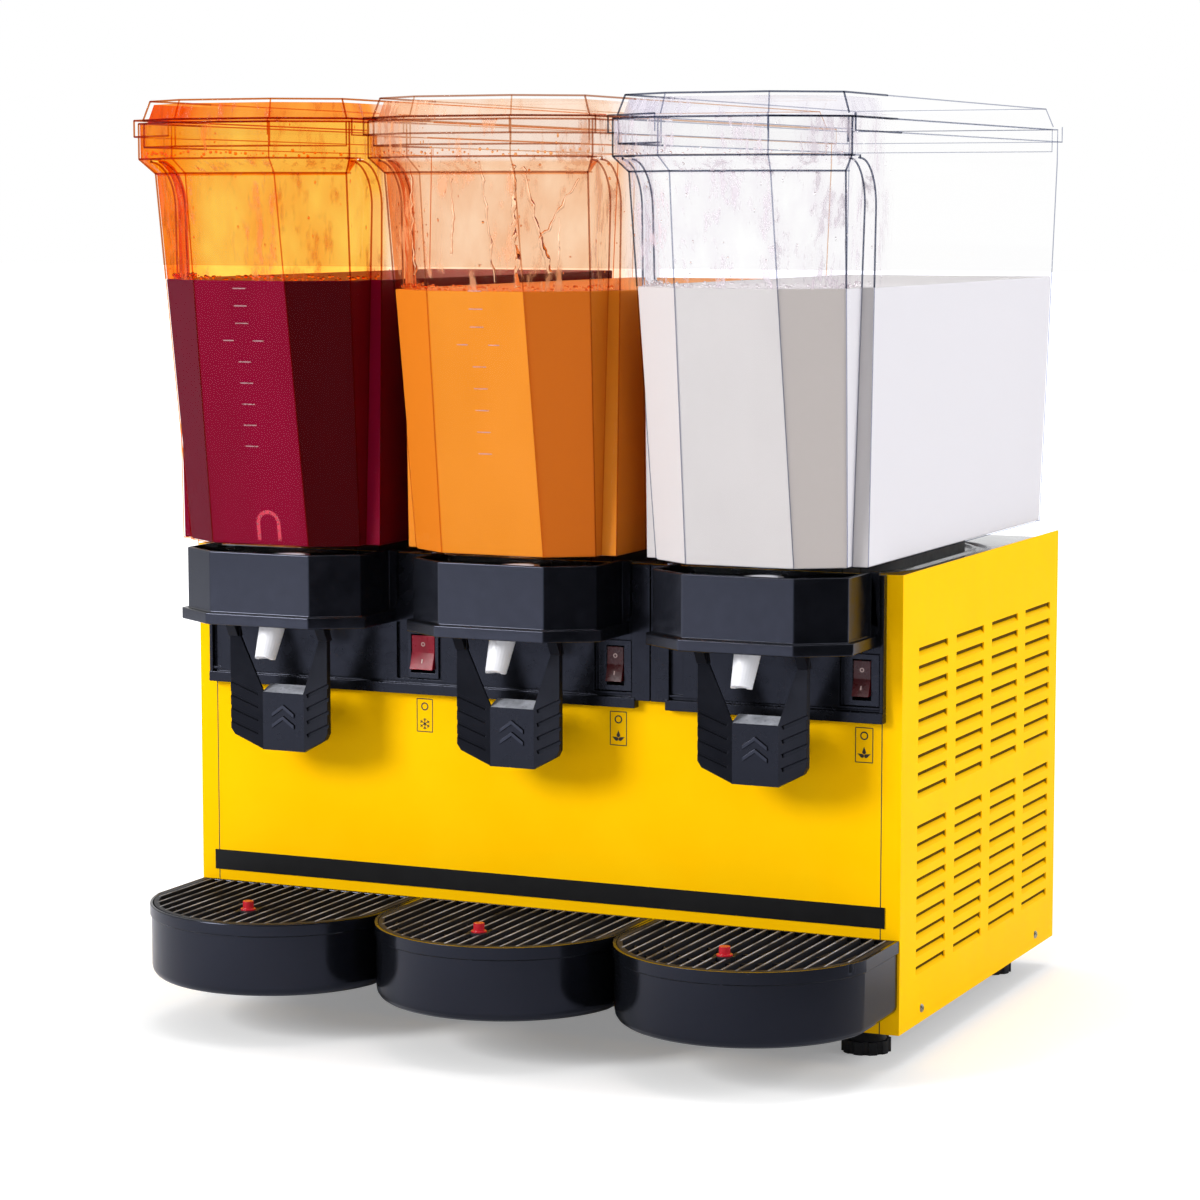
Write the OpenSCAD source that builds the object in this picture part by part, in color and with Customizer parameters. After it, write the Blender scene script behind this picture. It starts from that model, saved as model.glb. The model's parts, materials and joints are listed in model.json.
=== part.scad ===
// Counter-top cold drink dispenser: a painted sheet housing that holds the cooling unit,
// with three clear lift-off tanks, a push-lever tap under each tank and a drip tray below each tap.
// The front faces -Y, +X is to the right, +Z is up and the feet stand on z = 0.

/* [Housing] */
// Gap between the rims of neighbouring tanks
tank_gap = 16; // [13:1:30]
// Depth of the housing from the front sheet to the rear sheet
housing_d = 392; // [350:1:430]
// Height of the side panels
housing_h = 346; // [336:1:375]
// Thickness of the painted sheet
sheet = 1.2; // [0.8:0.1:2]
// Width of the return that each side panel turns across the front
front_return = 12; // [9:1:16]
// Drop of the steel deck below the top edge of the side panels
deck_drop = 6; // [4:1:10]
// Thickness of the steel deck
deck_t = 1.5; // [1:0.1:2.5]
// Thickness of the base pan
pan_t = 2; // [1.5:0.1:3]
// Height of the lip turned up round the base pan
pan_lip = 18; // [12:1:28]

/* [Feet] */
// Clearance of the housing above the counter
foot_h = 25; // [20:1:35]
// Radius of the lobed foot
foot_r = 19; // [15:1:24]
// Height of the lobed rim of the foot
foot_rim_h = 10; // [7:1:14]
// Number of lobes round the foot
foot_lobes = 10; // [6:1:14]
// Radius of the foot's stud
stud_r = 4; // [3:0.5:6]
// Length of the stud inside the housing
stud_len = 16; // [12:1:24]
// Distance of the feet from the side panels
foot_in_x = 42; // [34:1:60]
// Distance of the feet from the front and rear sheets
foot_in_y = 45; // [34:1:60]

/* [Louvres] */
// Gap between louvre columns
louvre_gap = 20.5; // [12:0.5:22]
// Vertical pitch of the louvres
louvre_row = 13.5; // [11:0.5:14]
// Louvres in one column of a block
louvre_rows = 9; // [5:1:9]
// Columns of louvres
louvre_cols = 4; // [2:1:4]
// How far a louvre blade leans inwards
louvre_depth = 5; // [3:0.5:8]
// Height of the flat strip under each blade
louvre_flat = 7; // [5:0.5:8]
// Distance from the front sheet to the first column
louvre_front = 37; // [20:1:40]
// Distance from the last column to the rear sheet
louvre_rear = 21.5; // [12:0.5:40]
// Distance from the panel's top edge to the first row
louvre_top = 58; // [40:1:62]

/* [Fascia] */
// Height of the fascia above its lip
fascia_h = 104.5; // [98:0.5:112]
// Thickness of the fascia's sunk field
fascia_t = 3; // [2:0.5:4]
// Height of the raised areas above the field
fascia_raise = 3; // [2:0.5:4]
// Height of the lip under the fascia
lip_h = 6; // [4:0.5:10]
// How far the lip stands ahead of the front sheet
lip_reach = 8; // [7:0.5:12]
// Width of a switch bezel
bezel_w = 27; // [25:0.5:29]
// Height of a switch bezel
bezel_h = 39; // [36:0.5:41]
// Thickness of the bezel's rim
bezel_t = 2; // [1.5:0.5:3]
// Depth of the switch body behind the bezel
switch_d = 22; // [16:1:30]
// Distance of a switch's centre below the panel's top edge
switch_drop = 78.5; // [77:0.5:81]
// Distance of a narrow switch from its bay's centre
switch_x = 70; // [69:0.5:71]
// Height of a rocker
rocker_h = 27; // [24:0.5:29]
// Width of a narrow rocker
rocker_narrow = 13.5; // [11:0.5:16]
// Width of the broad rocker
rocker_broad = 20; // [17:0.5:20.5]
// Tilt of a rocker to either side
rocker_tilt = 9; // [6:1:11]
// Height of the dark trim strip
strip_h = 16; // [12:1:18]
// Distance from the panel's bottom edge to the strip
strip_z = 80.5; // [78:0.5:90]
// Thickness of the trim strip
strip_t = 0.8; // [0.5:0.1:1.5]

/* [Tank] */
// Width of the tank over its rim
rim_w = 184; // [170:1:206]
// Width of the rim's flat front
rim_front_w = 84; // [70:1:96]
// How far the rim stands ahead of the front sheet
rim_reach = 129; // [120:1:136]
// How far the rim stands past the rear sheet
rim_over = 7; // [0:1:16]
// Height of the rim band
rim_h = 27; // [25:1:36]
// Height of the sloping shoulder under the rim
shoulder_h = 11; // [8:1:16]
// Height of the tank from its floor to its rim
tank_h = 324; // [296:1:350]
// Height of the tank's floor above the side panels
tank_lift = 9; // [8:0.5:14]
// Wall of the tank
wall = 3; // [2:0.5:4]
// Run back of the front corner facets for each unit of width
facet_slope = 0.68; // [0.5:0.02:0.9]
// Width of the tank's nose at the shoulder
nose_top_w = 168; // [162:1:172]
// Width of the nose's flat front at the shoulder
nose_top_front = 77; // [66:1:88]
// How far the nose stands ahead of the front sheet at the shoulder
nose_top_reach = 117; // [112:1:120]
// Width of the tank's nose at the floor
nose_low_w = 151; // [146:1:152]
// Width of the nose's flat front at the floor
nose_low_front = 85; // [78:1:90]
// How far the nose stands ahead of the front sheet at the floor
nose_low_reach = 75; // [72:1:76]
// Width of the rear part at the floor
rear_low_w = 176; // [170:1:182]
// How far the rear wall leans in from rim to floor
rear_rake = 22; // [10:1:30]
// Distance of the side step ahead of the front sheet
step_reach = 43; // [34:1:46]
// Radius of the arch at the top of the side step
arch_r = 35; // [24:1:38]

/* [Lid] */
// Thickness of the lid
lid_t = 2.4; // [1.8:0.2:3]
// Clearance between lid and rim
lid_gap = 0.6; // [0.4:0.1:1]
// Height of the lid's outer lip over the rim
lid_lip_h = 10; // [6:1:14]
// Depth of the lid's inner skirt
lid_skirt_h = 18; // [12:1:22]
// Rise of the lid's raised top
lid_rise = 17; // [10:1:24]
// Margin between the lip and the foot of the raised top
lid_margin = 6; // [4:0.5:9]
// Run in of the raised top's sloping sides
lid_slope_run = 5; // [3:0.5:8]

/* [Cooling] */
// Radius of the evaporator's rounded ends
evap_r = 45; // [40:1:50]
// Straight length of the evaporator
evap_len = 140; // [120:1:160]
// Height of the evaporator above the deck
evap_h = 105; // [80:1:125]
// Distance of the evaporator's centre behind the front sheet
evap_y = 175; // [165:1:190]
// Wall of the evaporator
evap_wall = 2; // [1:0.5:3]
// Clearance of the tank's floor opening round the evaporator
evap_gap = 4; // [3:0.5:6]
// Width of the gasket ring
gasket_w = 14; // [10:1:18]
// Radius of the impeller
impeller_r = 26; // [20:1:28]
// Height of the impeller
impeller_h = 14; // [10:1:18]
// Radius of the impeller's fixed pin
spindle_r = 3; // [2.5:0.5:4]
// Height of the spray pipe above the pump cover
spray_h = 62; // [30:1:70]
// Radius of the fan
fan_r = 72; // [60:1:80]
// Number of fan blades
fan_blades = 5; // [4:1:7]

/* [Tap] */
// Height of the collar
collar_h = 57; // [52:1:60]
// Drop of the collar's floor below the side panels
collar_drop = 54; // [52:1:58]
// Width of the collar
collar_w = 155; // [154:1:160]
// Width of the collar's flat front
collar_front_w = 88; // [80:1:92]
// How far the collar stands ahead of the front sheet
collar_reach = 78; // [77.5:0.5:84]
// Wall of the collar
collar_t = 3; // [2:0.5:3.5]
// Height of the collar's bottom flange
flange_h = 9; // [6:1:12]
// How far the flange stands out of the collar
flange_out = 4.5; // [3:0.5:6]
// Reach of the wings beside the collar
wing_w = 7; // [5:0.5:9]
// Radius of the spout at its mouth
spout_r = 8; // [7.5:0.5:9]
// Lean of the spout from upright
spout_lean = 26; // [22:1:28]
// Drop of the spout's mouth below the collar's floor
spout_drop = 27; // [20:1:34]
// Reach of the spout's mouth ahead of the front sheet
spout_reach = 70; // [68:1:72]
// Radius of the spout's bore
spout_bore = 5; // [4:0.5:5.5]
// Distance of the tank outlet ahead of the front sheet
outlet_reach = 28; // [26:1:30]
// Radius of the tank's outlet stub
outlet_r = 11; // [9:0.5:12]
// Width of the push lever
lever_w = 89; // [84:1:91]
// Width of the lever's plain centre plate
plate_w = 38; // [34:1:42]
// Height of the lever's centre plate
plate_h = 46; // [40:1:52]
// Distance from the lever's pivot to its bottom edge
lever_drop = 119; // [110:1:124]
// Thickness of the lever
lever_t = 4; // [3:0.5:5]
// Forward turn of the lever's side wings
wing_turn = 16; // [10:1:20]
// Distance of the centre plate ahead of the front sheet
plate_reach = 42; // [40:1:45]
// Rise of the lever's lower outer corners
corner_rise = 14; // [8:1:18]
// Radius of the lever's pins
pin_r = 2.5; // [2:0.25:3.5]

/* [Drip tray] */
// Height of the drip tray
tray_h = 57.4; // [48:1:58]
// Height of the tray's rim above the panel's bottom edge
tray_top = 72.4; // [68:0.2:76]
// How far the tray stands ahead of the front sheet
tray_reach = 153; // [140:1:165]
// Radius of the tray's round front
tray_r = 101.4; // [98:0.2:112]
// Wall of the tray
tray_t = 2.5; // [2:0.5:4]
// Thickness of the drip grille
grille_t = 6; // [4:0.5:8]
// Pitch of the grille's slats
slat_pitch = 10.6; // [8:0.2:14]
// Width of a slat
slat_w = 3.2; // [2:0.2:4.5]
// Radius of the float's stem
float_r = 4.2; // [3.5:0.1:6]
// Distance of the float ahead of the front sheet
float_reach = 100; // [80:1:115]
// Height of the float above the grille
float_show = 7; // [5:0.5:16]
// Width of a tray tongue
tongue_w = 24; // [16:1:36]
// Thickness of a tray tongue
tongue_t = 3; // [2:0.5:4]
// Reach of a tray tongue
tongue_reach = 16; // [10:1:24]
// Distance of a tongue from its bay's centre
tongue_x = 60; // [40:1:70]

/* [Hidden] */
$fn = 48;

// Clearance of a shaft in its bore and of parts that only pass each other
running_gap = 0.05;
pass_gap = 0.6;
// Overlap that carries a cut clear through a face
cut_over = 1;

bays = [0, 1, 2];
bay_names = ["left", "middle", "right"];
feet = [0, 1, 2, 3];
foot_names = ["front_left", "front_right", "rear_left", "rear_right"];
bay_pitch = rim_w + tank_gap;
housing_w = len(bays) * bay_pitch;
half_w = housing_w / 2;
panel_z = foot_h;
top_z = panel_z + housing_h;
pan_top = panel_z + pan_t;
deck_z = top_z - deck_drop;

lid_out = lid_gap + lid_t;
lid_back = housing_d + rim_over + lid_out;
front_y = (tray_reach - lid_back) / 2;

tank_z = top_z + tank_lift;
rim_top = tank_z + tank_h;
rim_z = rim_top - rim_h;
shoulder_z = rim_z - shoulder_h;
tank_back = housing_d + rim_over;

collar_z = top_z - collar_drop;
collar_top = collar_z + collar_h;
seat_y = fascia_t + fascia_raise;

fascia_z = top_z - fascia_h;
lip_z = fascia_z - lip_h;
fascia_x = half_w - front_return - 0.5;
switch_z = top_z - switch_drop;
broad_switch_x = -bay_pitch / 2 + 5;
// Place of each switch and width of its rocker
switches = [
    [broad_switch_x, rocker_broad],
    [bay_x(1) + switch_x, rocker_narrow],
    [bay_x(2) + switch_x, rocker_narrow]
];
rocker_side = 0.5;
case_wall = 2;

// Pieces of the tap
pivot_rise = 16;
pivot_in = 18;
pivot_z = collar_z + pivot_rise;
pivot_reach = collar_reach - pivot_in;
arm_w = 8;
arm_x = lever_w / 2 - arm_w - 0.5;
cheek_t = 5;
cheek_gap = 1;
pin_in = 22;
mouth_z = collar_z - spout_drop;
cup_t = 4;
cup_fit = 0.6;
stub_len = 18;
spigot_h = 11;
plunger_len = 34;
nub_r = 2;
nub_travel = plunger_len / 6;
nub_z = pivot_z + 8;
nub_y = -spout_reach + tan(spout_lean) * (nub_z - mouth_z);
finger_gap = 0.5;

tray_z = panel_z + tray_top - tray_h;
tray_rim_z = panel_z + tray_top;
tray_half = bay_pitch / 2 - 0.5;
tray_gap = 0.5;
ledge_w = 4;
band_h = 9;
band_out = 1.2;
tray_round = 8;
grille_z = tray_rim_z - grille_t;
float_base_h = 5;
float_clear = 1.5;
float_collar = 1.2;
tongue_down = 26;
tongue_z = tray_rim_z - tongue_down;

louvre_step = (housing_d - louvre_front - louvre_rear + louvre_gap) / louvre_cols;
louvre_len = louvre_step - louvre_gap;
louvre_block = louvre_rows * louvre_row;
louvre_first_z = top_z - louvre_top - louvre_block;
louvre_second_z = louvre_first_z - louvre_block - louvre_row;

motor_r = 30;
motor_top_gap = 6;
spindle_h = impeller_h + 6;
pump_r = impeller_r + 6;
pump_h = impeller_h + 9;
evap_top = deck_z + evap_h;

fan_z = pan_top + fan_r + 14;
fan_y = housing_d / 2;
fan_in = 86;
fan_x = half_w - fan_in;
condenser_in = 56;
shroud_d = 26;

function bay_x(i) = (i - 1) * bay_pitch;

// Plan outline of a flat-fronted nose with sloping corner facets, drawn in by e on every side
function nose(front, width, reach, back, e) =
    let (slant = sqrt(1 + facet_slope * facet_slope))
    let (a = front / 2 - e * (slant - 1) / facet_slope)
    let (b = width / 2 - e)
    let (y = -reach + e)
    let (turn = y + facet_slope * (b - a))
    [[-a, y], [a, y], [b, turn], [b, back - e], [-b, back - e], [-b, turn]];

function blend_outline(low, high, share) =
    [for (i = [0 : len(low) - 1]) low[i] * (1 - share) + high[i] * share];

function block_outline(width, y0, y1, e) =
    [[-width / 2 + e, y0 + e], [width / 2 - e, y0 + e], [width / 2 - e, y1 - e], [-width / 2 + e, y1 - e]];

module at_bay(i) {
    translate([bay_x(i), front_y, 0]) children();
}

module from_front() {
    translate([0, front_y, 0]) children();
}

module box(x, y, z) {
    translate([x[0], y[0], z[0]]) cube([x[1] - x[0], y[1] - y[0], z[1] - z[0]]);
}

module loft(low, z_low, high, z_high) {
    n = len(low);
    polyhedron(
        points = concat([for (p = low) [p[0], p[1], z_low]], [for (p = high) [p[0], p[1], z_high]]),
        faces = concat(
            [[for (i = [0 : n - 1]) i]],
            [[for (i = [0 : n - 1]) 2 * n - 1 - i]],
            [for (i = [0 : n - 1]) [i, i + n, (i + 1) % n + n, (i + 1) % n]]
        )
    );
}

// A bar with two round ends, lying along Y
module oblong(r, len, z0, z1) {
    for (s = [-1, 1]) translate([0, s * len / 2, z0]) cylinder(r = r, h = z1 - z0);
    box([-r, r], [-len / 2, len / 2], [z0, z1]);
}

// Blades of one block of louvres on the plane x = 0, leaning to -X
module louvre_block(y0, z0) {
    for (c = [0 : louvre_cols - 1], r = [0 : louvre_rows - 1])
        translate([0, y0 + c * louvre_step + louvre_len, z0 + r * louvre_row])
            rotate([90, 0, 0]) linear_extrude(louvre_len) polygon([
                [0, 0], [0, louvre_flat], [-louvre_depth, louvre_row - sheet],
                [-louvre_depth, louvre_row - 2.5 * sheet], [-sheet, louvre_flat - sheet / 2], [-sheet, 0]
            ]);
}

module louvre_windows(y0, z0, depth) {
    for (c = [0 : louvre_cols - 1]) {
        y = y0 + c * louvre_step;
        box([-depth, cut_over], [y, y + louvre_len], [z0, z0 + louvre_block]);
    }
}

module side_panel(s) {
    color("gold") from_front() mirror([s < 0 ? 1 : 0, 0, 0]) translate([half_w, 0, 0]) {
        difference() {
            box([-sheet, 0], [0, housing_d], [panel_z, top_z]);
            for (z = [louvre_first_z, louvre_second_z]) louvre_windows(louvre_front, z, sheet + cut_over);
        }
        for (z = [louvre_first_z, louvre_second_z]) louvre_block(louvre_front, z);
        box([-front_return, -sheet], [0, sheet], [panel_z, top_z]);
    }
}

module base_pan() {
    inner = half_w - sheet;
    color("silver") from_front() difference() {
        union() {
            box([-inner, inner], [sheet, housing_d - sheet], [panel_z, pan_top]);
            for (s = [-1, 1])
                box([s > 0 ? inner - pan_t : -inner, s > 0 ? inner : pan_t - inner],
                    [sheet, housing_d - sheet], [panel_z, panel_z + pan_lip]);
            for (i = feet) foot_place(i) translate([0, 0, pan_top])
                cylinder(r = 2 * stud_r, h = 2 * stud_r);
        }
        for (i = feet) foot_place(i) translate([0, 0, panel_z - cut_over])
            cylinder(r = stud_r + running_gap, h = stud_len + pan_lip);
    }
}

module foot_place(i) {
    translate([(i % 2 == 0 ? -1 : 1) * (half_w - foot_in_x),
               i < 2 ? foot_in_y : housing_d - foot_in_y, 0]) children();
}

module foot() {
    lobe_r = foot_r * sin(90 / foot_lobes) * 1.1;
    color("black") {
        difference() {
            cylinder(r = foot_r, h = foot_rim_h);
            for (k = [0 : foot_lobes - 1]) rotate([0, 0, 360 * k / foot_lobes])
                translate([foot_r + lobe_r / 2, 0, -cut_over])
                    cylinder(r = lobe_r, h = foot_rim_h + 2 * cut_over);
        }
        translate([0, 0, foot_rim_h])
            cylinder(r1 = foot_r - lobe_r, r2 = 2 * stud_r, h = panel_z - foot_rim_h);
        translate([0, 0, panel_z]) cylinder(r = stud_r, h = stud_len);
    }
}

// Body of a switch, or the opening that takes it when grown
module switch_body(s, grow, y0, y1) {
    w = s[1] + 2 * (rocker_side + case_wall + grow);
    h = bezel_h - 5 + 2 * grow;
    box([s[0] - w / 2, s[0] + w / 2], [y0, y1], [switch_z - h / 2, switch_z + h / 2]);
}

module front_panel() {
    inner = half_w - front_return;
    color("gold") from_front() difference() {
        box([-inner, inner], [0, sheet], [panel_z, top_z]);
        for (s = switches) switch_body(s, pass_gap, -cut_over, sheet + cut_over);
        for (i = bays, s = [-1, 1]) translate([bay_x(i) + s * tongue_x, 0, 0])
            tongue_slot(-cut_over, sheet + cut_over);
    }
}

module tongue_slot(y0, y1) {
    box([-tongue_w / 2 - pass_gap, tongue_w / 2 + pass_gap], [y0, y1],
        [tongue_z - pass_gap, tongue_z + tongue_t + pass_gap]);
}

module tray_brackets() {
    color("silver") for (i = bays, s = [-1, 1]) at_bay(i) translate([s * tongue_x, 0, 0]) {
        box([-tongue_w / 2, tongue_w / 2], [-tongue_reach, sheet], [tongue_z, tongue_z + tongue_t]);
        box([-tongue_w / 2, tongue_w / 2], [sheet, sheet + tongue_t],
            [tongue_z - tongue_w / 2, tongue_z + tongue_w]);
    }
}

// Rear sheet with two blocks of vent louvres and the bushed hole where the supply lead enters
gland_x = bay_pitch;
gland_rise = 44;
gland_z = panel_z + gland_rise;
gland_r = 5;
gland_boss_r = 11;
gland_boss_h = 8;
module rear_panel() {
    inner = half_w - sheet;
    vent = louvre_cols * louvre_step - louvre_gap;
    color("gold") from_front() difference() {
        union() {
            translate([0, housing_d, 0]) difference() {
                box([-inner, inner], [-sheet, 0], [panel_z, top_z - deck_drop - deck_t]);
                rotate([0, 0, 90]) louvre_windows(-vent / 2, louvre_first_z, sheet + cut_over);
            }
            translate([0, housing_d, 0]) rotate([0, 0, 90]) louvre_block(-vent / 2, louvre_first_z);
            translate([gland_x, housing_d, gland_z]) rotate([90, 0, 0])
                cylinder(r = gland_boss_r, h = gland_boss_h);
        }
        translate([gland_x, housing_d + cut_over, gland_z]) rotate([90, 0, 0])
            cylinder(r = gland_r, h = gland_boss_h + 2 * cut_over);
    }
}

// Steel deck with two pressed rings round each evaporator
module top_deck() {
    inner = half_w - sheet;
    ring_h = 1.5;
    ring_w = 3;
    rings = [for (k = [1, 2]) evap_r + evap_gap + gasket_w + 4 * k * ring_w - 2 * ring_w];
    color("lightgray") from_front() difference() {
        union() {
            box([-inner, inner], [sheet, housing_d - sheet], [deck_z - deck_t, deck_z]);
            for (y = [sheet, housing_d - sheet - deck_t])
                box([-inner, inner], [y, y + deck_t], [deck_z - pan_lip, deck_z]);
            for (i = bays, r = rings) translate([bay_x(i), evap_y, 0]) difference() {
                oblong(r + ring_w, evap_len, deck_z - deck_t / 2, deck_z + ring_h);
                oblong(r, evap_len, deck_z - deck_t, deck_z + ring_h + cut_over);
            }
        }
        for (i = bays) translate([bay_x(i), evap_y, 0])
            oblong(evap_r + running_gap, evap_len, deck_z - deck_t - cut_over, deck_z + cut_over);
    }
}

module evaporators() {
    color("silver") for (i = bays) at_bay(i) translate([0, evap_y, 0]) {
        difference() {
            union() {
                oblong(evap_r, evap_len, deck_z - deck_t, evap_top - evap_wall);
                oblong(evap_r - evap_wall, evap_len, evap_top - evap_wall, evap_top);
            }
            oblong(evap_r - evap_wall, evap_len, deck_z - deck_t - cut_over, evap_top - 2 * evap_wall);
        }
        translate([0, 0, evap_top]) cylinder(r = spindle_r, h = spindle_h);
    }
}

module tank_gaskets() {
    color("dimgray") for (i = bays) at_bay(i) translate([0, evap_y, 0]) difference() {
        oblong(evap_r + evap_gap + gasket_w, evap_len, deck_z, tank_z);
        oblong(evap_r + evap_gap / 2, evap_len, deck_z - cut_over, tank_z + cut_over);
    }
}

module pump_covers() {
    pipe_r = 2 * spindle_r + 2;
    color("whitesmoke") for (i = bays) at_bay(i) translate([0, evap_y, evap_top]) difference() {
        union() {
            cylinder(r = pump_r, h = pump_h);
            translate([0, 0, pump_h]) cylinder(r = pipe_r, h = spray_h);
        }
        translate([0, 0, -cut_over]) cylinder(r = pump_r - 2, h = pump_h - 2 + cut_over);
        translate([0, 0, pump_h - cut_over - 2]) cylinder(r = pipe_r - 2, h = spray_h + 2 * cut_over + 2);
        for (k = [0 : 3]) rotate([0, 0, 90 * k]) translate([0, 0, impeller_h / 2]) rotate([0, 90, 0])
            cylinder(r = spindle_r, h = pump_r + cut_over);
    }
}

module impeller() {
    color("whitesmoke") translate([0, evap_y, evap_top + pass_gap]) difference() {
        union() {
            cylinder(r = 3 * spindle_r, h = impeller_h);
            cylinder(r = impeller_r, h = 2);
            for (k = [0 : 5]) rotate([0, 0, 60 * k + 20])
                box([spindle_r * 2, impeller_r - 2], [-1, 1], [1, impeller_h - 2]);
        }
        translate([0, 0, -cut_over]) cylinder(r = spindle_r + running_gap, h = impeller_h + 2 * cut_over);
    }
}

// Drive motor with its bracket under the deck and its magnet head inside the evaporator
module pump_motors() {
    bracket_t = 3;
    bracket_half = evap_r + 14;
    head_top = evap_top - 2 * evap_wall - motor_top_gap;
    z = deck_z - deck_t - bracket_t;
    color("slategray") for (i = bays) at_bay(i) translate([0, evap_y, 0]) {
        translate([0, 0, z - 2 * motor_r]) cylinder(r = motor_r, h = head_top - z + 2 * motor_r);
        box([-bracket_half, bracket_half], [-motor_r / 2, motor_r / 2], [z, z + bracket_t]);
    }
}

clear_tint = [0.85, 0.92, 0.95, 0.4];

// Outline points of the tank's nose at its floor and under its rim
nose_back = -step_reach + 12;
rear_front = -(step_reach + arch_r);
arch_z = rim_z - arch_r - 2;
function nose_low(e) = nose(nose_low_front, nose_low_w, nose_low_reach, nose_back, e);
function nose_high(e) = nose(nose_top_front, nose_top_w, nose_top_reach, nose_back, e);
function nose_shoulder(e) =
    blend_outline(nose(nose_low_front, nose_low_w, nose_low_reach, rear_front, e),
                  nose(nose_top_front, nose_top_w, nose_top_reach, rear_front, e),
                  (shoulder_z - tank_z) / (rim_z - tank_z));

// The tank's outer form, or its hollow when drawn in by the wall
module tank_form(e) {
    loft(nose_low(e), tank_z + e, nose_high(e), rim_z);
    loft(nose_shoulder(e), shoulder_z, nose(rim_front_w, rim_w, rim_reach, rear_front, e), rim_z);
    difference() {
        loft(block_outline(rear_low_w, rear_front, tank_back - rear_rake, e), tank_z + e,
             block_outline(rim_w, rear_front, tank_back, e), rim_z);
        step_space(e);
    }
    translate([0, 0, rim_z]) linear_extrude(rim_h + e)
        polygon(nose(rim_front_w, rim_w, rim_reach, tank_back, e));
}

// Space ahead of the side step, with its arched top; the nose stands in its middle
module step_space(e) {
    reach = arch_r + e;
    translate([-rim_w, rear_front, 0]) {
        box([0, 2 * rim_w], [-reach, reach], [tank_z - cut_over, arch_z]);
        translate([0, 0, arch_z]) rotate([0, 90, 0]) cylinder(r = reach, h = 2 * rim_w, $fn = 96);
    }
}

module tank() {
    spigot_in = collar_t + 2;
    color(clear_tint) difference() {
        union() {
            difference() {
                tank_form(0);
                tank_form(wall);
            }
            translate([0, 0, tank_z - spigot_h]) linear_extrude(spigot_h) difference() {
                polygon(nose(nose_low_front, nose_low_w, nose_low_reach, -seat_y, spigot_in));
                polygon(nose(nose_low_front, nose_low_w, nose_low_reach, -seat_y, spigot_in + wall));
            }
            translate([0, -outlet_reach, tank_z - stub_len]) cylinder(r = outlet_r, h = stub_len + wall);
        }
        translate([0, evap_y, 0])
            oblong(evap_r + evap_gap, evap_len, tank_z - cut_over, tank_z + wall + cut_over);
        translate([0, -outlet_reach, tank_z - stub_len - cut_over])
            cylinder(r = outlet_r - wall, h = stub_len + wall + 2 * cut_over);
    }
}

module lid() {
    inner = wall + lid_gap;
    foot_in = lid_margin - lid_out;
    top_in = foot_in + lid_slope_run;
    outline = function(e) nose(rim_front_w, rim_w, rim_reach, tank_back, e);
    plate_z = rim_top + lid_t;
    color(clear_tint) difference() {
        union() {
            translate([0, 0, rim_top - lid_lip_h]) linear_extrude(lid_lip_h + lid_t)
                polygon(outline(-lid_out));
            loft(outline(foot_in), plate_z, outline(top_in), plate_z + lid_rise - lid_t);
        }
        translate([0, 0, rim_top - lid_lip_h - cut_over]) linear_extrude(lid_lip_h + cut_over)
            polygon(outline(-lid_gap));
        loft(outline(foot_in + lid_t), rim_top - cut_over,
             outline(top_in + lid_t), plate_z + lid_rise - 2 * lid_t);
    }
    color(clear_tint) translate([0, 0, rim_top - lid_skirt_h]) linear_extrude(lid_skirt_h) difference() {
        polygon(outline(inner));
        polygon(outline(inner + lid_t));
    }
}

function collar_outline(e, back) = nose(collar_front_w, collar_w, collar_reach, back, e);

// Octagonal collar round the foot of the tank, with its flange, floor and the cheeks of the lever
module collar() {
    cheek_x = arm_x + arm_w + cheek_gap;
    slot_x = arm_x - pass_gap;
    color("black") difference() {
        union() {
            translate([0, 0, collar_z]) linear_extrude(collar_h) difference() {
                polygon(collar_outline(0, -seat_y));
                polygon(collar_outline(collar_t, -seat_y + 2 * collar_t));
            }
            translate([0, 0, collar_z]) linear_extrude(collar_t) polygon(collar_outline(0, -seat_y));
            translate([0, 0, collar_z]) linear_extrude(flange_h) difference() {
                polygon(collar_outline(-flange_out, -seat_y - flange_out));
                polygon(collar_outline(collar_t / 2, -seat_y + 2 * collar_t));
            }
            for (s = [-1, 1]) mirror([s < 0 ? 1 : 0, 0, 0]) {
                collar_wing();
                box([cheek_x, cheek_x + cheek_t], [-pivot_reach - 3 * pin_r, -pivot_reach + 3 * pin_r],
                    [collar_z, pivot_z + 3 * pin_r]);
            }
        }
        for (s = [-1, 1]) mirror([s < 0 ? 1 : 0, 0, 0]) {
            box([slot_x, cheek_x], [-pivot_reach - 3 * pin_r - pass_gap, -plate_reach + 3 * lever_t],
                [collar_z - cut_over, collar_z + collar_t + cut_over]);
            translate([0, -pivot_reach, pivot_z]) rotate([0, 90, 0])
                cylinder(r = pin_r + running_gap, h = cheek_x + cheek_t + cut_over);
        }
        translate([0, -spout_reach + tan(spout_lean) * spout_drop, collar_z - cut_over])
            cylinder(r = spout_top_r() + 3, h = collar_t + 2 * cut_over);
    }
}

// Wing beside the collar, with a round lower corner and a shadow slot
module collar_wing() {
    x0 = collar_w / 2 - collar_t;
    x1 = collar_w / 2 + wing_w;
    wing_t = 4;
    corner = 2 * wing_w;
    z0 = collar_z + flange_h / 2;
    difference() {
        union() {
            box([x0, x1], [-seat_y - wing_t, -seat_y], [z0 + corner, collar_top]);
            translate([x1 - corner, -seat_y, z0 + corner]) rotate([90, 0, 0])
                cylinder(r = corner, h = wing_t);
        }
        box([x0 - corner * 2, x0], [-seat_y - wing_t - cut_over, cut_over], [z0 - cut_over, collar_top]);
        box([x0 + collar_t + 1, x1 - 2], [-seat_y - wing_t - cut_over, -seat_y - wing_t / 2],
            [z0 + corner, collar_top - 2 * wing_t]);
    }
}

function spout_top_r() = spout_r + 2;

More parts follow.
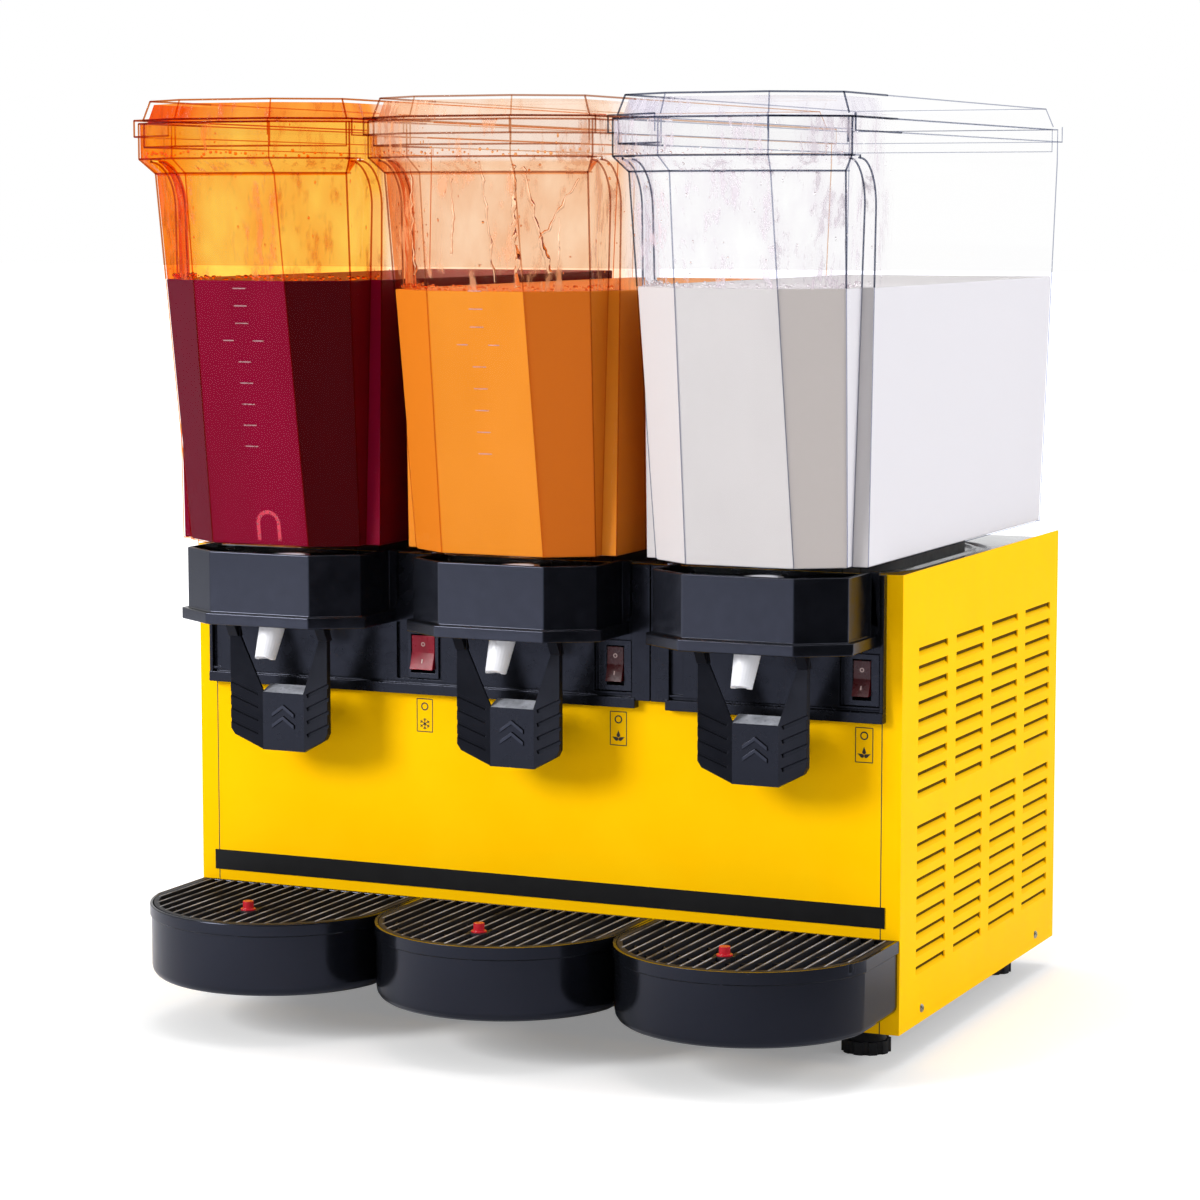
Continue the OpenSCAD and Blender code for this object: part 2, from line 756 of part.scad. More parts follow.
// Leaning spout with its bore, and the cup that takes the tank's outlet
module tap_spouts() {
    cup_r = outlet_r + cup_fit + cup_t;
    cup_z = tank_z - stub_len - cup_t;
    run = (cup_z + cup_t - mouth_z) / cos(spout_lean);
    color("white") for (i = bays) at_bay(i) difference() {
        union() {
            translate([0, -spout_reach, mouth_z]) rotate([-spout_lean, 0, 0]) {
                cylinder(r1 = spout_r, r2 = spout_top_r(), h = spout_drop);
                translate([0, 0, spout_drop]) cylinder(r = spout_top_r(), h = run - spout_drop);
            }
            translate([0, -outlet_reach, cup_z - cup_t])
                cylinder(r = cup_r, h = tank_z - spigot_h - pass_gap - cup_z + cup_t);
        }
        translate([0, -spout_reach, mouth_z]) rotate([-spout_lean, 0, 0]) {
            translate([0, 0, -cut_over]) cylinder(r = spout_bore, h = run + 2 * cut_over);
        }
        translate([0, -outlet_reach, cup_z]) cylinder(r = outlet_r + cup_fit, h = collar_h);
        plunger_frame()
            box([-cup_r, cup_r], [-nub_r - pass_gap, nub_r + pass_gap],
                [-nub_r - pass_gap, nub_r + nub_travel]);
        box([-collar_w, collar_w], [-collar_reach, 0], [mouth_z - spout_drop, mouth_z]);
    }
}

// Frame on the spout's axis at the height of the plunger's nubs, with Z along the axis
module plunger_frame() {
    translate([0, nub_y, nub_z]) rotate([-spout_lean, 0, 0]) children();
}

module valve_plunger() {
    nub_half = spout_top_r() + 4;
    color("gray") plunger_frame() {
        translate([0, 0, -plunger_len / 2]) cylinder(r = spout_bore - running_gap, h = plunger_len);
        rotate([0, 90, 0]) translate([0, 0, -nub_half]) cylinder(r = nub_r, h = 2 * nub_half);
    }
}

module lever_pins() {
    pin_out = arm_x + arm_w + cheek_gap + cheek_t;
    color("silver") for (i = bays, s = [-1, 1]) at_bay(i)
        translate([s > 0 ? pin_in : -pin_out, -pivot_reach, pivot_z]) rotate([0, 90, 0])
            cylinder(r = pin_r, h = pin_out - pin_in);
}

// Lever side wing with its arm, drawn flat: u runs outwards from the centre plate
module wing_face(z0, z1) {
    u = (lever_w - plate_w) / 2 / cos(wing_turn);
    arm_u = (arm_x - plate_w / 2 + 0.5) / cos(wing_turn);
    polygon([
        [0, z0], [u - 3, z0 + corner_rise - 2], [u, z0 + corner_rise + 3], [u, z1], [arm_u, z1],
        [arm_u, z0 + plate_h + 2.8 * arm_w * 2], [0, z0 + plate_h]
    ]);
}

module push_lever() {
    z0 = pivot_z - lever_drop;
    plate_y = -plate_reach;
    ledge_d = 14;
    ledge_rise = 5;
    arm_top = collar_z + collar_t;
    groove = 1.4;
    groove_lean = 24;
    outer_y = plate_y - (lever_w - plate_w) / 2 * tan(wing_turn);
    finger_y = [nub_y - 3, nub_y + 4];
    finger_z = [nub_z - nub_r - finger_gap - 4, nub_z - nub_r - finger_gap];
    eye_r = 3 * pin_r;
    color([0.12, 0.12, 0.14]) difference() {
        union() {
            box([-plate_w / 2, plate_w / 2], [plate_y, plate_y + lever_t], [z0, z0 + plate_h]);
            translate([-plate_w / 2, 0, 0]) rotate([90, 0, 90]) linear_extrude(plate_w)
                polygon([[plate_y, z0 + plate_h], [plate_y, z0 + plate_h - lever_t],
                         [plate_y + ledge_d, z0 + plate_h - lever_t + ledge_rise],
                         [plate_y + ledge_d, z0 + plate_h + ledge_rise]]);
            for (s = [-1, 1]) mirror([s < 0 ? 1 : 0, 0, 0]) {
                difference() {
                    translate([plate_w / 2, plate_y + lever_t, 0]) rotate([0, 0, -wing_turn])
                        rotate([90, 0, 0]) linear_extrude(lever_t) wing_face(z0, arm_top);
                    for (k = [0 : 3])
                        translate([plate_w / 2, plate_y, z0 + corner_rise / 2 + 5 + k * 10.5])
                            rotate([0, 0, -wing_turn]) rotate([0, -groove_lean, 0])
                                box([3, lever_w / 2], [-cut_over, groove], [-groove, groove]);
                }
                translate([arm_x, 0, 0]) rotate([90, 0, 90]) linear_extrude(arm_w) polygon([
                    [outer_y, arm_top - 4 * lever_t], [outer_y + 2 * lever_t, arm_top - 4 * lever_t],
                    [-pivot_reach + eye_r, pivot_z], [-pivot_reach - eye_r + 1, pivot_z - 2]
                ]);
                translate([arm_x, -pivot_reach, pivot_z]) rotate([0, 90, 0])
                    cylinder(r = eye_r - 0.5, h = arm_w);
                box([spout_top_r() + 1.5, arm_x + 1], finger_y, finger_z);
                box([arm_x, arm_x + arm_w], [-pivot_reach, finger_y[1]], finger_z);
            }
        }
        translate([-lever_w, -pivot_reach, pivot_z]) rotate([0, 90, 0])
            cylinder(r = pin_r + running_gap, h = 2 * lever_w);
    }
}

// One fascia moulding with its lip, raised panels and switch holes
module fascia(x0, x1, lip_x, panels, holes) {
    border = 3;
    bead_z = fascia_z + 4;
    color("black") from_front() difference() {
        union() {
            box([x0, x1], [-fascia_t, 0], [fascia_z, top_z]);
            box([x0, x1], [-seat_y, 0], [collar_z, top_z]);
            box(lip_x, [-lip_reach, 0], [lip_z, fascia_z + 2]);
            box(lip_x, [-seat_y, 0], [bead_z, bead_z + 2]);
            box([x0, lip_x[0] + border], [-seat_y - 1, 0], [fascia_z, top_z]);
            box([lip_x[1] - border, x1], [-seat_y - 1, 0], [fascia_z, top_z]);
            for (p = panels) box(p, [-seat_y, 0], [bead_z, top_z]);
        }
        for (s = holes) switch_body(s, running_gap, -seat_y - 2 * cut_over, cut_over);
    }
}

seam_x = (bay_x(1) + bay_x(2)) / 2;
seam_gap = 0.3;
notch = 12.5;
panel_left = -73.5;
panel_right = 53;
module double_fascia() {
    fascia(-fascia_x, seam_x - seam_gap, [-fascia_x, seam_x - notch],
           [[-fascia_x + 10, broad_switch_x - bezel_w / 2 - 9],
            [broad_switch_x + bezel_w / 2 + 3, bay_x(1) + panel_right]],
           [switches[0], switches[1]]);
}

module single_fascia() {
    fascia(seam_x + seam_gap, fascia_x, [seam_x + notch, fascia_x],
           [[bay_x(2) + panel_left, bay_x(2) + panel_right]], [switches[2]]);
}

module trim_strip() {
    inner = half_w - front_return;
    color([0.05, 0.05, 0.06]) from_front()
        box([-inner, inner], [-strip_t, 0], [panel_z + strip_z, panel_z + strip_z + strip_h]);
}

// Hinge line of the rockers, behind the bezel's rim
rocker_y = -fascia_t + 3;
rocker_pin_r = 1.5;
rocker_pin_len = 1.5;
module switch_bezels() {
    cavity_h = rocker_h + 3.4;
    color([0.08, 0.08, 0.09]) from_front() for (s = switches) difference() {
        half = s[1] / 2 + rocker_side;
        pin_half = s[1] / 2 + rocker_pin_len + 0.3;
        union() {
            box([s[0] - bezel_w / 2, s[0] + bezel_w / 2], [-fascia_t - bezel_t, -fascia_t],
                [switch_z - bezel_h / 2, switch_z + bezel_h / 2]);
            switch_body(s, 0, -fascia_t, switch_d - fascia_t);
        }
        box([s[0] - half, s[0] + half], [-fascia_t - bezel_t - cut_over, switch_d / 2],
            [switch_z - cavity_h / 2, switch_z + cavity_h / 2]);
        translate([s[0] - pin_half, rocker_y, switch_z]) rotate([0, 90, 0])
            cylinder(r = rocker_pin_r + running_gap, h = 2 * pin_half);
    }
}

// Rocker with its top pressed in: a shallow V face on a round back
module rocker(s) {
    face = -fascia_t - bezel_t - rocker_y - 2;
    half = rocker_h / 2;
    w = s[1];
    color("darkred") from_front() translate([s[0], rocker_y, switch_z]) rotate([-rocker_tilt, 0, 0]) {
        rotate([90, 0, 90]) translate([0, 0, -w / 2]) linear_extrude(w)
            polygon([[face, -half], [0, -half + 1.5], [4, 0], [0, half - 1.5], [face, half],
                     [face + half * tan(rocker_tilt), 0]]);
        rotate([0, 90, 0]) translate([0, 0, -w / 2 - rocker_pin_len])
            cylinder(r = rocker_pin_r, h = w + 2 * rocker_pin_len);
    }
}

function tray_centre() = -tray_reach + tray_r;

// D-shaped plan of the tray, drawn in by e
module tray_plan(e, z0, z1) {
    half = tray_half - e;
    r = tray_r - e;
    intersection() {
        box([-half, half], [-tray_reach, -tray_gap - e], [z0, z1]);
        union() {
            translate([0, tray_centre(), z0]) cylinder(r = r, h = z1 - z0, $fn = 128);
            box([-r - cut_over, r + cut_over], [tray_centre(), 0], [z0, z1]);
        }
    }
}

// Edge of the tray in section, from its rounded bottom up to the rim band at a distance out
function tray_edge(out) = [
    for (a = [0 : 22.5 : 90])
        [out - band_out - tray_round * (1 - sin(a)), tray_z + tray_round * (1 - cos(a))],
    [out - band_out, tray_rim_z - band_h - band_out],
    [out, tray_rim_z - band_h],
    [out, tray_rim_z]
];

function mirrored(points) = [for (i = [len(points) - 1 : -1 : 0]) [-points[i][0], points[i][1]]];

// Outside of the tray: round front and straight sides, both with the same edge
module tray_body() {
    side = tray_edge(tray_half);
    front = tray_edge(tray_r);
    intersection() {
        translate([0, -tray_gap, 0]) rotate([90, 0, 0]) linear_extrude(tray_reach)
            polygon(concat(side, mirrored(side)));
        union() {
            translate([0, tray_centre(), 0]) rotate_extrude($fn = 128)
                polygon(concat([[0, tray_z]], front, [[0, tray_rim_z]]));
            box([-tray_r - cut_over, tray_r + cut_over], [tray_centre(), 0], [tray_z, tray_rim_z]);
        }
    }
}

module drip_tray() {
    color("black") difference() {
        tray_body();
        tray_plan(tray_t, grille_z, tray_rim_z + cut_over);
        tray_plan(tray_t + ledge_w, tray_z + tray_t, grille_z + cut_over);
        for (s = [-1, 1]) translate([s * tongue_x, 0, 0])
            tongue_slot(-tray_gap - tray_t - ledge_w - cut_over, cut_over);
    }
}

// Slatted grille that drops into the tray, with round cross ribs and the float's hole
module drip_grille() {
    e = tray_t + pass_gap;
    rim = 4;
    r = tray_r - e - rim / 2;
    back = -tray_gap - e;
    count = floor((2 * (tray_half - e - rim)) / slat_pitch);
    color("black") difference() {
        union() {
            difference() {
                tray_plan(e, grille_z, tray_rim_z);
                tray_plan(e + rim, grille_z - cut_over, tray_rim_z + cut_over);
                box([-tray_half + e + rim, tray_half - e - rim], [back - rim - cut_over, back + cut_over],
                    [grille_z + grille_t / 2, tray_rim_z + cut_over]);
            }
            for (k = [0 : count]) {
                x = (k - count / 2) * slat_pitch;
                y = tray_centre() - sqrt(r * r - x * x);
                box([x - slat_w / 2, x + slat_w / 2], [y, back], [grille_z, tray_rim_z]);
            }
            for (k = [3, 6, 8]) translate([0, tray_centre(), grille_z + 1]) rotate([0, 0, 180])
                rotate_extrude(angle = 180, $fn = 96) translate([k * slat_pitch - slat_w / 4, 0])
                    square([slat_w / 2, grille_t / 2]);
            translate([0, -float_reach, grille_z]) cylinder(r = float_r + rim, h = grille_t);
        }
        translate([0, -float_reach, grille_z - cut_over])
            cylinder(r = float_r + pass_gap, h = grille_t + 2 * cut_over);
    }
}

// Float that hangs in the grille by its collar, with its disc just clear of the tray's floor
module full_float() {
    base_z = tray_z + tray_t + float_clear;
    color("crimson") translate([0, -float_reach, 0]) {
        translate([0, 0, base_z]) cylinder(r = 3 * float_r, h = float_base_h);
        translate([0, 0, base_z]) cylinder(r = float_r, h = tray_rim_z + float_show - base_z);
        translate([0, 0, tray_rim_z]) cylinder(r = float_r + pass_gap + float_collar, h = float_collar);
    }
}

// Welded compressor can on its sprung base plate
module compressor() {
    can_r = 70;
    can_h = 118;
    crown = 26;
    leg_h = 14;
    plate_t = 3;
    z = pan_top + leg_h;
    color([0.1, 0.1, 0.11]) from_front() translate([bay_x(0) + can_r / 2, housing_d / 2, 0]) {
        translate([0, 0, z]) rotate_extrude($fn = 72) polygon(concat(
            [[0, 0], [can_r, 0], [can_r, can_h]],
            [for (a = [0 : 10 : 90]) [can_r - crown + crown * cos(a), can_h + crown * sin(a)]],
            [[0, can_h + crown]]
        ));
        box([-can_r, can_r], [-can_r, can_r], [z - plate_t, z]);
        for (sx = [-1, 1], sy = [-1, 1]) translate([sx * (can_r - leg_h), sy * (can_r - leg_h), pan_top])
            cylinder(r = leg_h / 2, h = leg_h - plate_t);
    }
}

// Finned condenser block beside the right louvres
module condenser() {
    block_w = 34;
    block_y = 250;
    block_h = 170;
    fin_pitch = 10;
    fin_t = 2;
    x0 = half_w - condenser_in;
    core = 8;
    color("darkgray") from_front() {
        box([x0 + core, x0 + block_w - core], [housing_d / 2 - block_y / 2, housing_d / 2 + block_y / 2],
            [pan_top, pan_top + block_h]);
        for (k = [0 : floor(block_y / fin_pitch)])
            box([x0, x0 + block_w], [housing_d / 2 - block_y / 2 + k * fin_pitch,
                housing_d / 2 - block_y / 2 + k * fin_pitch + fin_t], [pan_top, pan_top + block_h]);
    }
}

// Fan ring on its stand with the spider and the motor
module fan_unit() {
    ring_t = 5;
    motor = 24;
    motor_len = 40;
    arm = 4;
    shaft = 3;
    color("dimgray") from_front() translate([fan_x, fan_y, fan_z]) {
        difference() {
            union() {
                rotate([0, -90, 0]) cylinder(r = fan_r + ring_t, h = shroud_d, $fn = 96);
                box([-shroud_d, 0], [-fan_r, fan_r], [pan_top - fan_z, -fan_r / 2]);
            }
            rotate([0, -90, 0]) translate([0, 0, -cut_over])
                cylinder(r = fan_r + 2, h = shroud_d + 2 * cut_over, $fn = 96);
        }
        for (a = [0 : 90 : 270]) rotate([a, 0, 0])
            box([-shroud_d - arm, -shroud_d], [-arm, arm], [motor / 2, fan_r + ring_t]);
        translate([-shroud_d, 0, 0]) rotate([0, -90, 0]) cylinder(r = motor, h = motor_len);
        translate([-shroud_d, 0, 0]) rotate([0, 90, 0]) cylinder(r = shaft, h = shroud_d);
    }
}

module fan_rotor() {
    hub = 16;
    depth = 14;
    shaft = 3;
    pitch = 30;
    color("whitesmoke") from_front() translate([fan_x - 4, fan_y, fan_z]) difference() {
        union() {
            rotate([0, -90, 0]) cylinder(r = hub, h = depth);
            for (k = [0 : fan_blades - 1]) rotate([360 * k / fan_blades, 0, 0])
                translate([-depth / 2, 0, hub / 2]) rotate([0, 0, pitch])
                    box([-1, 1], [-hub, hub], [0, fan_r - hub / 2 - 4]);
        }
        rotate([0, -90, 0]) translate([0, 0, -cut_over])
            cylinder(r = shaft + running_gap, h = depth + 2 * cut_over);
    }
}

base_pan();
side_panel(-1);  // left_side_panel
side_panel(1);  // right_side_panel
front_panel();
rear_panel();
top_deck();
double_fascia();
single_fascia();
trim_strip();
switch_bezels();
tray_brackets();
tap_spouts();
lever_pins();
evaporators();
tank_gaskets();
pump_covers();
pump_motors();
compressor();
condenser();
fan_unit();
fan_rotor();
for (i = bays) {
    at_bay(i) collar();
    at_bay(i) tank();
    at_bay(i) lid();
    at_bay(i) push_lever();
    at_bay(i) valve_plunger();
    at_bay(i) impeller();
    at_bay(i) drip_tray();
    at_bay(i) drip_grille();
    at_bay(i) full_float();
    rocker(switches[i]);
}
for (i = feet)
    from_front() foot_place(i) foot();
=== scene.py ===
import json
import math

import bmesh
import bpy
from mathutils import Matrix, Vector
from mathutils.bvhtree import BVHTree


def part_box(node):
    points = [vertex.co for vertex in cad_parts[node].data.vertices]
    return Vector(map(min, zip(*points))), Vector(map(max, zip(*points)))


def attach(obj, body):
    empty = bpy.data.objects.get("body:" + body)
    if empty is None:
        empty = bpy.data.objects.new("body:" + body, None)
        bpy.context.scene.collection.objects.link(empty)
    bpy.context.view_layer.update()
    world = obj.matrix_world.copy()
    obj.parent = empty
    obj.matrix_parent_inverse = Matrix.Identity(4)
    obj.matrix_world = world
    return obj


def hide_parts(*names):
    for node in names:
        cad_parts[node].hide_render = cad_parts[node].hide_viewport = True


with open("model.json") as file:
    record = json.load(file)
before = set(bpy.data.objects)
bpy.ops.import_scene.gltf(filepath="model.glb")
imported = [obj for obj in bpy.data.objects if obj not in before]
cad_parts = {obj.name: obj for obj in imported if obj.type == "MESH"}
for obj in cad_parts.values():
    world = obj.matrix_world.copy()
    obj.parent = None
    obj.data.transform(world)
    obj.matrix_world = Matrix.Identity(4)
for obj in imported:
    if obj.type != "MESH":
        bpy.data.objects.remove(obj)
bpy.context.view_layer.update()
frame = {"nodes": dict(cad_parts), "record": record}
mm = 0.001
record = frame["record"]
bodyOfNode = {node: body for body, nodes in record["behaviour"]["bodies"].items() for node in nodes}
bays = ["left", "middle", "right"]


def middleOf(node):
    low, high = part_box(node)
    return [(a + b) / 2 for a, b in zip(low, high)]


bayX = {bay: middleOf(bay + "_tank")[0] for bay in bays}
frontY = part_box("front_panel")[0][1]  # places below count back from the front sheet
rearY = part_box("rear_panel")[1][1]
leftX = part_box("left_side_panel")[0][0]
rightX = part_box("right_side_panel")[1][0]
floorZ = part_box("tank_gaskets")[1][2]  # the tanks' floors stand on the gaskets
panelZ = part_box("front_panel")[0][2]
switchZ = middleOf("switch_bezels")[2]
print("frame loaded:", len(frame["nodes"]), "nodes")


# Colours and node trees
def hexColour(code):
    parts = [int(code[i:i + 2], 16) / 255 for i in (1, 3, 5)]
    linear = [c / 12.92 if c <= 0.04045 else ((c + 0.055) / 1.055) ** 2.4 for c in parts]
    return (*linear, 1.0)


white = hexColour("#FFFFFF")


# An input takes a value, a socket or another node's first output
def addNode(tree, kind, inputs=(), **settings):
    node = tree.nodes.new(kind)
    for name, value in settings.items():
        setattr(node, name, value)
    for key, value in inputs.items() if isinstance(inputs, dict) else enumerate(inputs):
        if isinstance(value, bpy.types.Node):
            value = next(socket for socket in value.outputs if socket.enabled)
        if isinstance(value, bpy.types.NodeSocket):
            tree.links.new(value, node.inputs[key])
        else:
            node.inputs[key].default_value = value
    return node


def newMaterial(name):
    material = bpy.data.materials.new(name)
    material.use_nodes = True
    material.node_tree.nodes.clear()
    return material, material.node_tree


def finishMaterial(material, tree, surface):
    addNode(tree, "ShaderNodeOutputMaterial", {"Surface": surface})
    return material


# A pattern of a real size on the piece's own coordinates
def surfacePattern(tree, sizeMm, detail, stretch=(1, 1, 1)):
    place = addNode(tree, "ShaderNodeTexCoord").outputs["Object"]
    scaled = addNode(tree, "ShaderNodeMapping", {"Vector": place, "Scale": stretch})
    return addNode(tree, "ShaderNodeTexNoise", {"Vector": scaled, "Scale": 1 / (sizeMm * mm), "Detail": detail})


patternSpan = (0.3, 0.7)  # most of a pattern's values lie in here


# Colour that drifts between two tints along a pattern
def driftTint(tree, pattern, tints):
    ramp = addNode(tree, "ShaderNodeValToRGB", [pattern])
    for element, place, tint in zip(ramp.color_ramp.elements, patternSpan, tints):
        element.position = place
        element.color = hexColour(tint)
    return ramp


# Moulded or coated finish: a slow drift of colour, patchy gloss and a fine surface relief
def coatedFinish(name, tints, rough, grainMm, grainDepthMm, driftMm=60, shine=0.5, gloss="#FFFFFF"):
    material, tree = newMaterial(name)
    drift = surfacePattern(tree, driftMm, 4.0)
    grain = surfacePattern(tree, grainMm, 2.0)
    patches = surfacePattern(tree, driftMm / 4, 5.0)
    relief = addNode(tree, "ShaderNodeBump", {"Height": grain, "Distance": grainDepthMm * mm, "Strength": 0.5})
    return finishMaterial(material, tree, addNode(tree, "ShaderNodeBsdfPrincipled", {
        "Base Color": driftTint(tree, drift, tints),
        "Roughness": addNode(tree, "ShaderNodeMapRange", [patches, *patternSpan, *rough]),
        "Normal": relief, "Specular IOR Level": shine, "Specular Tint": hexColour(gloss)}))


# Powder coat on steel sheet: even colour with a soft orange-peel ripple in the highlights
yellowPowderCoat = coatedFinish("yellow_powder_coat", ("#FFC000", "#FFC505"), (0.32, 0.40), 1.6, 0.02, shine=0.01)
coolGloss = "#DCE2FF"
# Injection-moulded ABS: deep black with a smooth, slightly patchy gloss of a cool tone
blackAbs = coatedFinish("black_gloss_abs", ("#08090C", "#0D0E12"), (0.16, 0.26), 0.9, 0.006, 45, 0.68, coolGloss)
# Fascias and levers: the same plastic from a duller mould
satinAbs = coatedFinish("black_satin_abs", ("#08090C", "#0D0E12"), (0.2, 0.3), 0.9, 0.006, 45, 0.36, coolGloss)
# Lever wings: fine grip texture that hardly mirrors
gripAbs = coatedFinish("black_grip_abs", ("#0E0F13", "#16171C"), (0.32, 0.42), 0.5, 0.015, 20, 0.18, coolGloss)
# Polypropylene tray: a little waxier than the other mouldings
blackPolypropylene = coatedFinish("black_polypropylene", ("#060709", "#0A0B0E"), (0.12, 0.20), 1.2, 0.006, 50,
                                  gloss=coolGloss)
# Grille slats: textured, so that they look greyer and hardly mirror the panel behind
blackTextured = coatedFinish("black_textured_polypropylene", ("#202126", "#2A2B31"), (0.42, 0.52), 0.5, 0.01, 30, 0.1)
# Lever ledge: pale grey, a painted highlight where its glossy top catches the light from above
paleLedgeHighlight = coatedFinish("painted_highlight_grey_abs", ("#8C8F98", "#C4C7D0"), (0.25, 0.4), 0.9, 0.006, 9)
# Slat crests: pale grey in patches, a painted highlight that the glossy slats catch from the lamps
paleCrestHighlight = coatedFinish("painted_highlight_grey_polypropylene", ("#26272D", "#D0D3DE"), (0.3, 0.45), 0.9, 0.006, 34, 0.1)
# Strip film: satin black
blackFilm = coatedFinish("black_strip_film", ("#050506", "#08080A"), (0.40, 0.48), 0.7, 0.003, 40, 0.2)
# Switch bezels in glossy nylon
blackNylon = coatedFinish("black_nylon", ("#060709", "#0A0B0D"), (0.24, 0.32), 0.6, 0.004, 25, gloss=coolGloss)
# Acetal spout and pump parts: clean white with a waxy sheen
whiteAcetal = coatedFinish("white_acetal", ("#E6E7EE", "#F2F2F7"), (0.28, 0.36), 1.0, 0.004, 20)
# Broad rocker in bright red polycarbonate with a soft gloss
redRocker = coatedFinish("red_polycarbonate", ("#8A0520", "#A2082A"), (0.26, 0.34), 0.8, 0.003, 12, 0.25)
# The narrow rockers are a darker smoked red
darkRocker = coatedFinish("smoked_red_polycarbonate", ("#3A0307", "#4C050A"), (0.24, 0.34), 0.8, 0.003, 12)
# Float in red polystyrene, smooth and bright
redFloat = coatedFinish("red_polystyrene", ("#B81C28", "#CC2836"), (0.18, 0.26), 0.8, 0.004, 8)
# Foot: satin moulded rubber
footRubber = coatedFinish("black_foot_rubber", ("#101012", "#19191C"), (0.45, 0.6), 0.8, 0.02, 14)
# Gasket: matt grey silicone
greySilicone = coatedFinish("grey_silicone", ("#3A3B3D", "#46474A"), (0.5, 0.65), 1.0, 0.02, 20)
# Compressor enamel: gloss black over a pressed can
blackEnamel = coatedFinish("black_enamel", ("#08080A", "#0F0F12"), (0.2, 0.3), 3.0, 0.03, 30)
# Motor enamel: plain blue-grey
greyEnamel = coatedFinish("grey_enamel", ("#53585E", "#5E646B"), (0.35, 0.45), 2.0, 0.02, 30)
# Legend ink: flat black screen print; the seam lines use it too, as painted shade in the gaps between sheets
inkAndSeamShade = coatedFinish("legend_ink_and_seam_shade", ("#1A1408", "#241C0C"), (0.45, 0.55), 0.5, 0.002, 6)
# Behind the louvres: a dark screen that paints the shade of the unlit inside of the housing
slitShade = coatedFinish("painted_shade_behind_louvres", ("#4A3402", "#5C4204"), (0.6, 0.7), 2.0, 0.01, 20, 0.02)
# Pale hot-foil marks on the rockers
paleFoil = coatedFinish("pale_foil", ("#C9A9A4", "#DCC4C0"), (0.3, 0.4), 0.5, 0.002, 6)


# Metals: polish drifts in patches, with fine lines along the rolling direction
def metalFinish(name, tints, rough, lineMm, stretch):
    material, tree = newMaterial(name)
    lines = surfacePattern(tree, lineMm, 2.0, stretch)
    patches = surfacePattern(tree, 40, 4.0)
    relief = addNode(tree, "ShaderNodeBump", {"Height": lines, "Distance": 0.01 * mm, "Strength": 0.35})
    return finishMaterial(material, tree, addNode(tree, "ShaderNodeBsdfPrincipled", {
        "Base Color": driftTint(tree, patches, tints),
        "Roughness": addNode(tree, "ShaderNodeMapRange", [lines, *patternSpan, *rough]),
        "Normal": relief, "Metallic": 1.0}))


# Stainless deck and domes: bright rolled sheet with lines along the width
stainless = metalFinish("rolled_stainless", ("#C4C5C7", "#D6D7D9"), (0.14, 0.26), 0.8, (0.04, 1, 1))
# Galvanised pan and brackets: duller and spangled
galvanised = metalFinish("galvanised_sheet", ("#9A9EA1", "#B4B7BA"), (0.35, 0.5), 6.0, (1, 1, 1))
# Zinc-plated screws and pins: bright with a faint grain
zincPlate = metalFinish("zinc_plate", ("#B9B6AE", "#CBC8C0"), (0.22, 0.32), 0.5, (1, 1, 0.2))
# Condenser fins: plain rolled aluminium
finAluminium = metalFinish("fin_aluminium", ("#A9ACAE", "#BEC1C3"), (0.3, 0.45), 1.0, (1, 1, 0.1))


# Lamps and stray light pass straight through a clear piece and take its tint
def lightThrough(tree, solid, tint, share=0.0):
    path = addNode(tree, "ShaderNodeLightPath").outputs
    clear = addNode(tree, "ShaderNodeBsdfTransparent", {"Color": hexColour(tint)})
    lamp = addNode(tree, "ShaderNodeMath", [path["Is Shadow Ray"], path["Is Diffuse Ray"]], operation="MAXIMUM")
    through = addNode(tree, "ShaderNodeMath", [lamp, share], operation="MAXIMUM")
    return addNode(tree, "ShaderNodeMixShader", [through, solid, clear])


# Drops and bubbles: clear beads that bend what lies behind
def clearFinish(name, tint, rough, ior):
    material, tree = newMaterial(name)
    bead = addNode(tree, "ShaderNodeBsdfPrincipled", {
        "Base Color": hexColour(tint), "Transmission Weight": 1.0, "IOR": ior, "Roughness": rough})
    return finishMaterial(material, tree, lightThrough(tree, bead, tint))


waterDrop = clearFinish("water_drop", "#FFFFFF", 0.0, 1.33)


# Clear sheet: thin walls that don't shift what lies behind, under a coat that carries the gloss.
# A ray that has crossed many walls ends in the backdrop's white
def sheetFinish(name, tint):
    material, tree = newMaterial(name)
    ripple = surfacePattern(tree, 40, 2.0, (1, 1, 0.35))
    relief = addNode(tree, "ShaderNodeBump", {"Height": ripple, "Distance": 0.03 * mm, "Strength": 0.25})
    sheet = addNode(tree, "ShaderNodeBsdfPrincipled", {
        "Base Color": hexColour(tint), "Transmission Weight": 1.0, "IOR": 1.0, "Roughness": 0.0,
        "Coat Weight": 0.12, "Coat IOR": 1.4, "Coat Roughness": 0.02, "Coat Normal": relief})
    behind = addNode(tree, "ShaderNodeNewGeometry").outputs["Backfacing"]
    passing = lightThrough(tree, sheet, tint, behind)
    path = addNode(tree, "ShaderNodeLightPath").outputs
    passes = [addNode(tree, "ShaderNodeMath", [path[count], most], operation="GREATER_THAN")
              for count, most in (("Transparent Depth", 5.5), ("Ray Depth", 9.5))]
    spent = addNode(tree, "ShaderNodeMath", passes, operation="MAXIMUM")
    backdrop = addNode(tree, "ShaderNodeEmission", {"Color": hexColour(tint), "Strength": 0.95})
    return finishMaterial(material, tree, addNode(tree, "ShaderNodeMixShader", [spent, passing, backdrop]))


clearPolycarbonate = sheetFinish("clear_polycarbonate", "#FFFFFF")
